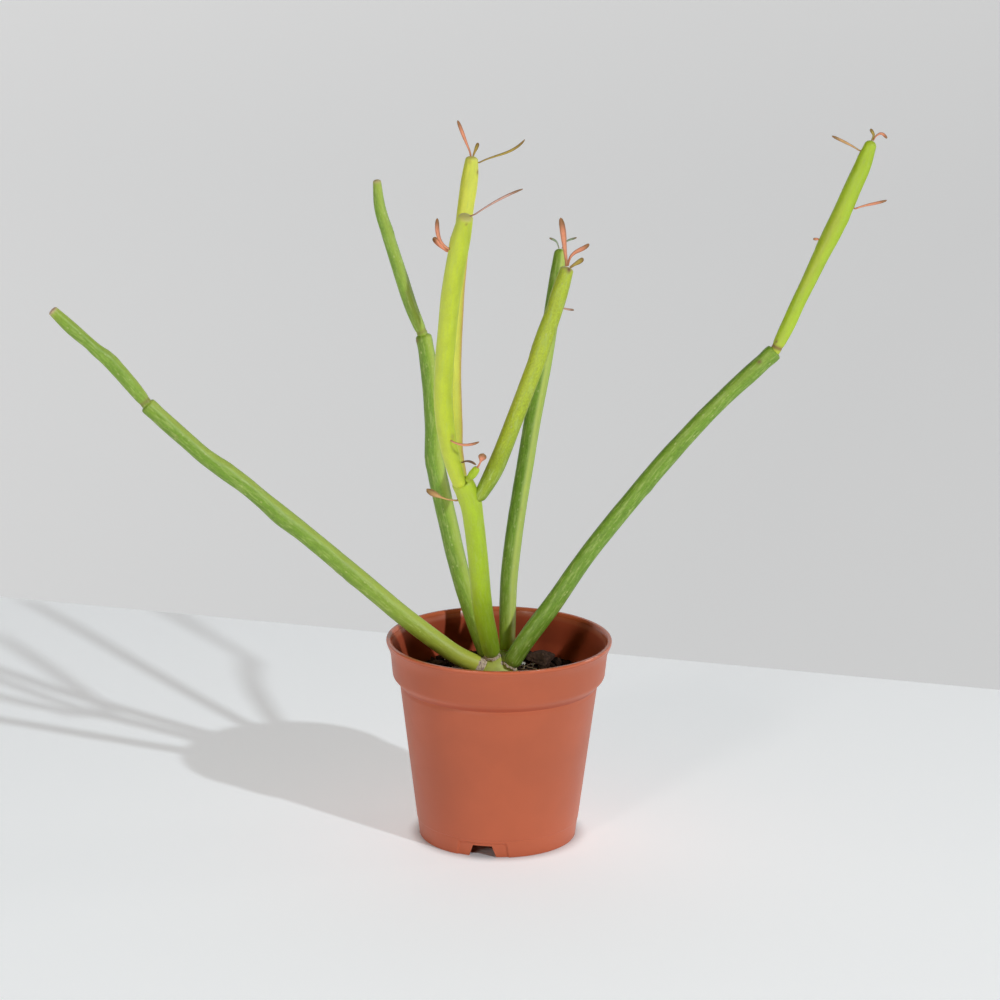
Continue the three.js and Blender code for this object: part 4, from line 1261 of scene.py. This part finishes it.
def make_table(settings):
    """A pale table whose back edge runs behind the pot, a little nearer on the right, and a grey
    wall far behind it. Both glow as painted light; the table doesn't glow under the pot, which
    paints shade there."""
    sides = np.array([-1, 1, 1, -1])
    finish, glowing = stage_finish("table_top", settings.floor_colour, 0.8, settings.floor_glow,
                                   (0.052, -0.141, 0), (-0.087, 0.235, 0), 0.7)
    from_pot = finish.vector("SUBTRACT", finish.place(), POT_FOOT * MM)
    # Painted shade round the pot's foot: no glow within 19 mm of its axis, fading in by 25 mm.
    far = finish.vector("LENGTH", from_pot, output=1) / MM
    finish.feed("Emission Color", finish.mix(far.between(19, 25), (0, 0, 0, 1), glowing))
    x = TABLE_REACH * sides
    edge = POT_FOOT[1] + EDGE_BEHIND + EDGE_SLOPE * (x - POT_FOOT[0])
    stand("table", x, [-TABLE_REACH, -TABLE_REACH, *edge[2:]], -30, 0, finish)
    finish, glowing = stage_finish("wall", settings.wall_colour, 0.9, settings.wall_glow,
                                   (-0.45, 2.6, 0.3), (0.45, 2.6, -0.35), 0.78)
    finish.feed("Emission Color", glowing)
    y = WALL_BEHIND + np.array([0, 0, 40, 40])
    stand("wall", WALL_REACH * sides, y, -2500, 2500, finish)


def aimed(name, kind, colour, strength, azimuth, elevation, distance, size=(1, 1)):
    """A light that the camera doesn't see, pointing at the plant from a direction. The azimuth
    is measured from the right towards the back, and the distance is in metres."""
    light = bpy.data.lights.new(name, kind)
    light.color = colour[:3]
    light.energy = strength
    if kind == "AREA":
        light.shape = "RECTANGLE"
        light.size, light.size_y = size
    turn, rise = math.radians(azimuth), math.radians(elevation)
    away = Vector((math.cos(rise) * math.cos(turn), math.cos(rise) * math.sin(turn), math.sin(rise)))
    lamp = linked(name, light)
    lamp.location = Vector((0, 0, 0.08)) + away * distance
    lamp.rotation_euler = away.to_track_quat("Z", "Y").to_euler()
    lamp.visible_camera = False
    return light


def make_lights(settings):
    """A cool key from the front right, warmer soft lights from the front left, low on the left
    and behind on the right, and a faint sky that looks pale grey behind everything."""
    key = aimed("key", "SUN", settings.key_colour, settings.key_strength, -46, 32, 2.0)
    key.angle = settings.key_spread
    warm = settings.fill_colour
    aimed("front", "AREA", warm, settings.front_strength, -118, 24, 4, (0.55, 0.55))
    aimed("side", "AREA", warm, settings.side_strength, 15, 4, 4, (1.2, 0.5))
    aimed("low", "AREA", warm, settings.low_strength, -125, 3, 4, (3.5, 0.4))
    world = bpy.data.worlds.new("studio")
    sky = Nodes(world, "Background")
    sky.fed.inputs["Color"].default_value = (1, 1, 1, 1)
    seen = sky.node("ShaderNodeLightPath")
    dark = settings.sky_strength
    sky.feed("Strength", dark + (settings.sky_seen - dark) * seen)
    bpy.context.scene.world = world


def make_camera(settings):
    """The camera, in front of the pot and above it, tipped down and leaned by the settings."""
    camera = bpy.data.cameras.new("camera")
    camera.lens = settings.lens
    camera.sensor_width = 36
    camera.clip_end = 20
    holder = linked("camera", camera)
    down = Matrix.Rotation(math.pi / 2 - settings.pitch, 4, "X")
    lean = Matrix.Rotation(settings.roll, 4, "Z")
    holder.matrix_world = Matrix.Translation((POT_FOOT + CAMERA_PLACE) * MM) @ down @ lean
    bpy.context.scene.camera = holder


# ---- operators and panel ------------------------------------------------------------------
class EUPHORBIA_OT_pot(bpy.types.Operator):
    """Builds the nursery pot"""

    bl_idname = "euphorbia.pot"
    bl_label = "Pot"

    def execute(self, context):
        make_pot(context.scene.euphorbia_pot)
        return {"FINISHED"}


class EUPHORBIA_OT_stems(bpy.types.Operator):
    """Builds the stems"""

    bl_idname = "euphorbia.stems"
    bl_label = "Stems"

    def execute(self, context):
        make_stems(context.scene.euphorbia_stems)
        return {"FINISHED"}


class EUPHORBIA_OT_leaves(bpy.types.Operator):
    """Builds the leaves"""

    bl_idname = "euphorbia.leaves"
    bl_label = "Leaves"

    def execute(self, context):
        make_leaves(context.scene.euphorbia_leaves)
        return {"FINISHED"}


class EUPHORBIA_OT_crown(bpy.types.Operator):
    """Builds the crown and its cork rings"""

    bl_idname = "euphorbia.crown"
    bl_label = "Crown"

    def execute(self, context):
        make_crown(context.scene.euphorbia_crown)
        return {"FINISHED"}


class EUPHORBIA_OT_soil(bpy.types.Operator):
    """Builds the potting mix and what lies on it"""

    bl_idname = "euphorbia.soil"
    bl_label = "Potting Mix"

    def execute(self, context):
        settings = context.scene.euphorbia_soil
        finish = make_bed(settings)
        make_crumbs(settings, finish)
        make_litter(settings)
        make_fibres(settings)
        return {"FINISHED"}


class EUPHORBIA_OT_stage(bpy.types.Operator):
    """Builds the table, wall, lights and camera"""

    bl_idname = "euphorbia.stage"
    bl_label = "Stage"

    def execute(self, context):
        settings = context.scene.euphorbia_stage
        make_table(settings)
        make_lights(settings)
        make_camera(settings)
        context.scene.view_settings.view_transform = "Standard"
        return {"FINISHED"}


class EUPHORBIA_PT_panel(bpy.types.Panel):
    """Lists the builders of the plant, its pot and its stage"""

    bl_label = "Potted Euphorbia"
    bl_space_type = "VIEW_3D"
    bl_region_type = "UI"
    bl_category = "Euphorbia"

    def draw(self, context):
        for operator in OPERATORS:
            self.layout.operator(operator.bl_idname)


OPERATORS = (EUPHORBIA_OT_pot, EUPHORBIA_OT_stems, EUPHORBIA_OT_leaves, EUPHORBIA_OT_crown,
             EUPHORBIA_OT_soil, EUPHORBIA_OT_stage)
SETTINGS = {
    "euphorbia_pot": EuphorbiaPotSettings,
    "euphorbia_stems": EuphorbiaStemSettings,
    "euphorbia_leaves": EuphorbiaLeafSettings,
    "euphorbia_crown": EuphorbiaCrownSettings,
    "euphorbia_soil": EuphorbiaSoilSettings,
    "euphorbia_stage": EuphorbiaStageSettings,
}


def register():
    for kind in (*SETTINGS.values(), *OPERATORS, EUPHORBIA_PT_panel):
        bpy.utils.register_class(kind)
    for name, kind in SETTINGS.items():
        setattr(bpy.types.Scene, name, PointerProperty(type=kind))


def unregister():
    for name in SETTINGS:
        delattr(bpy.types.Scene, name)
    for kind in (EUPHORBIA_PT_panel, *reversed(OPERATORS), *reversed(SETTINGS.values())):
        bpy.utils.unregister_class(kind)


def main():
    register()
    bpy.ops.euphorbia.pot()
    bpy.ops.euphorbia.stems()
    bpy.ops.euphorbia.leaves()
    bpy.ops.euphorbia.crown()
    bpy.ops.euphorbia.soil()
    bpy.ops.euphorbia.stage()


if __name__ == "__main__":
    main()
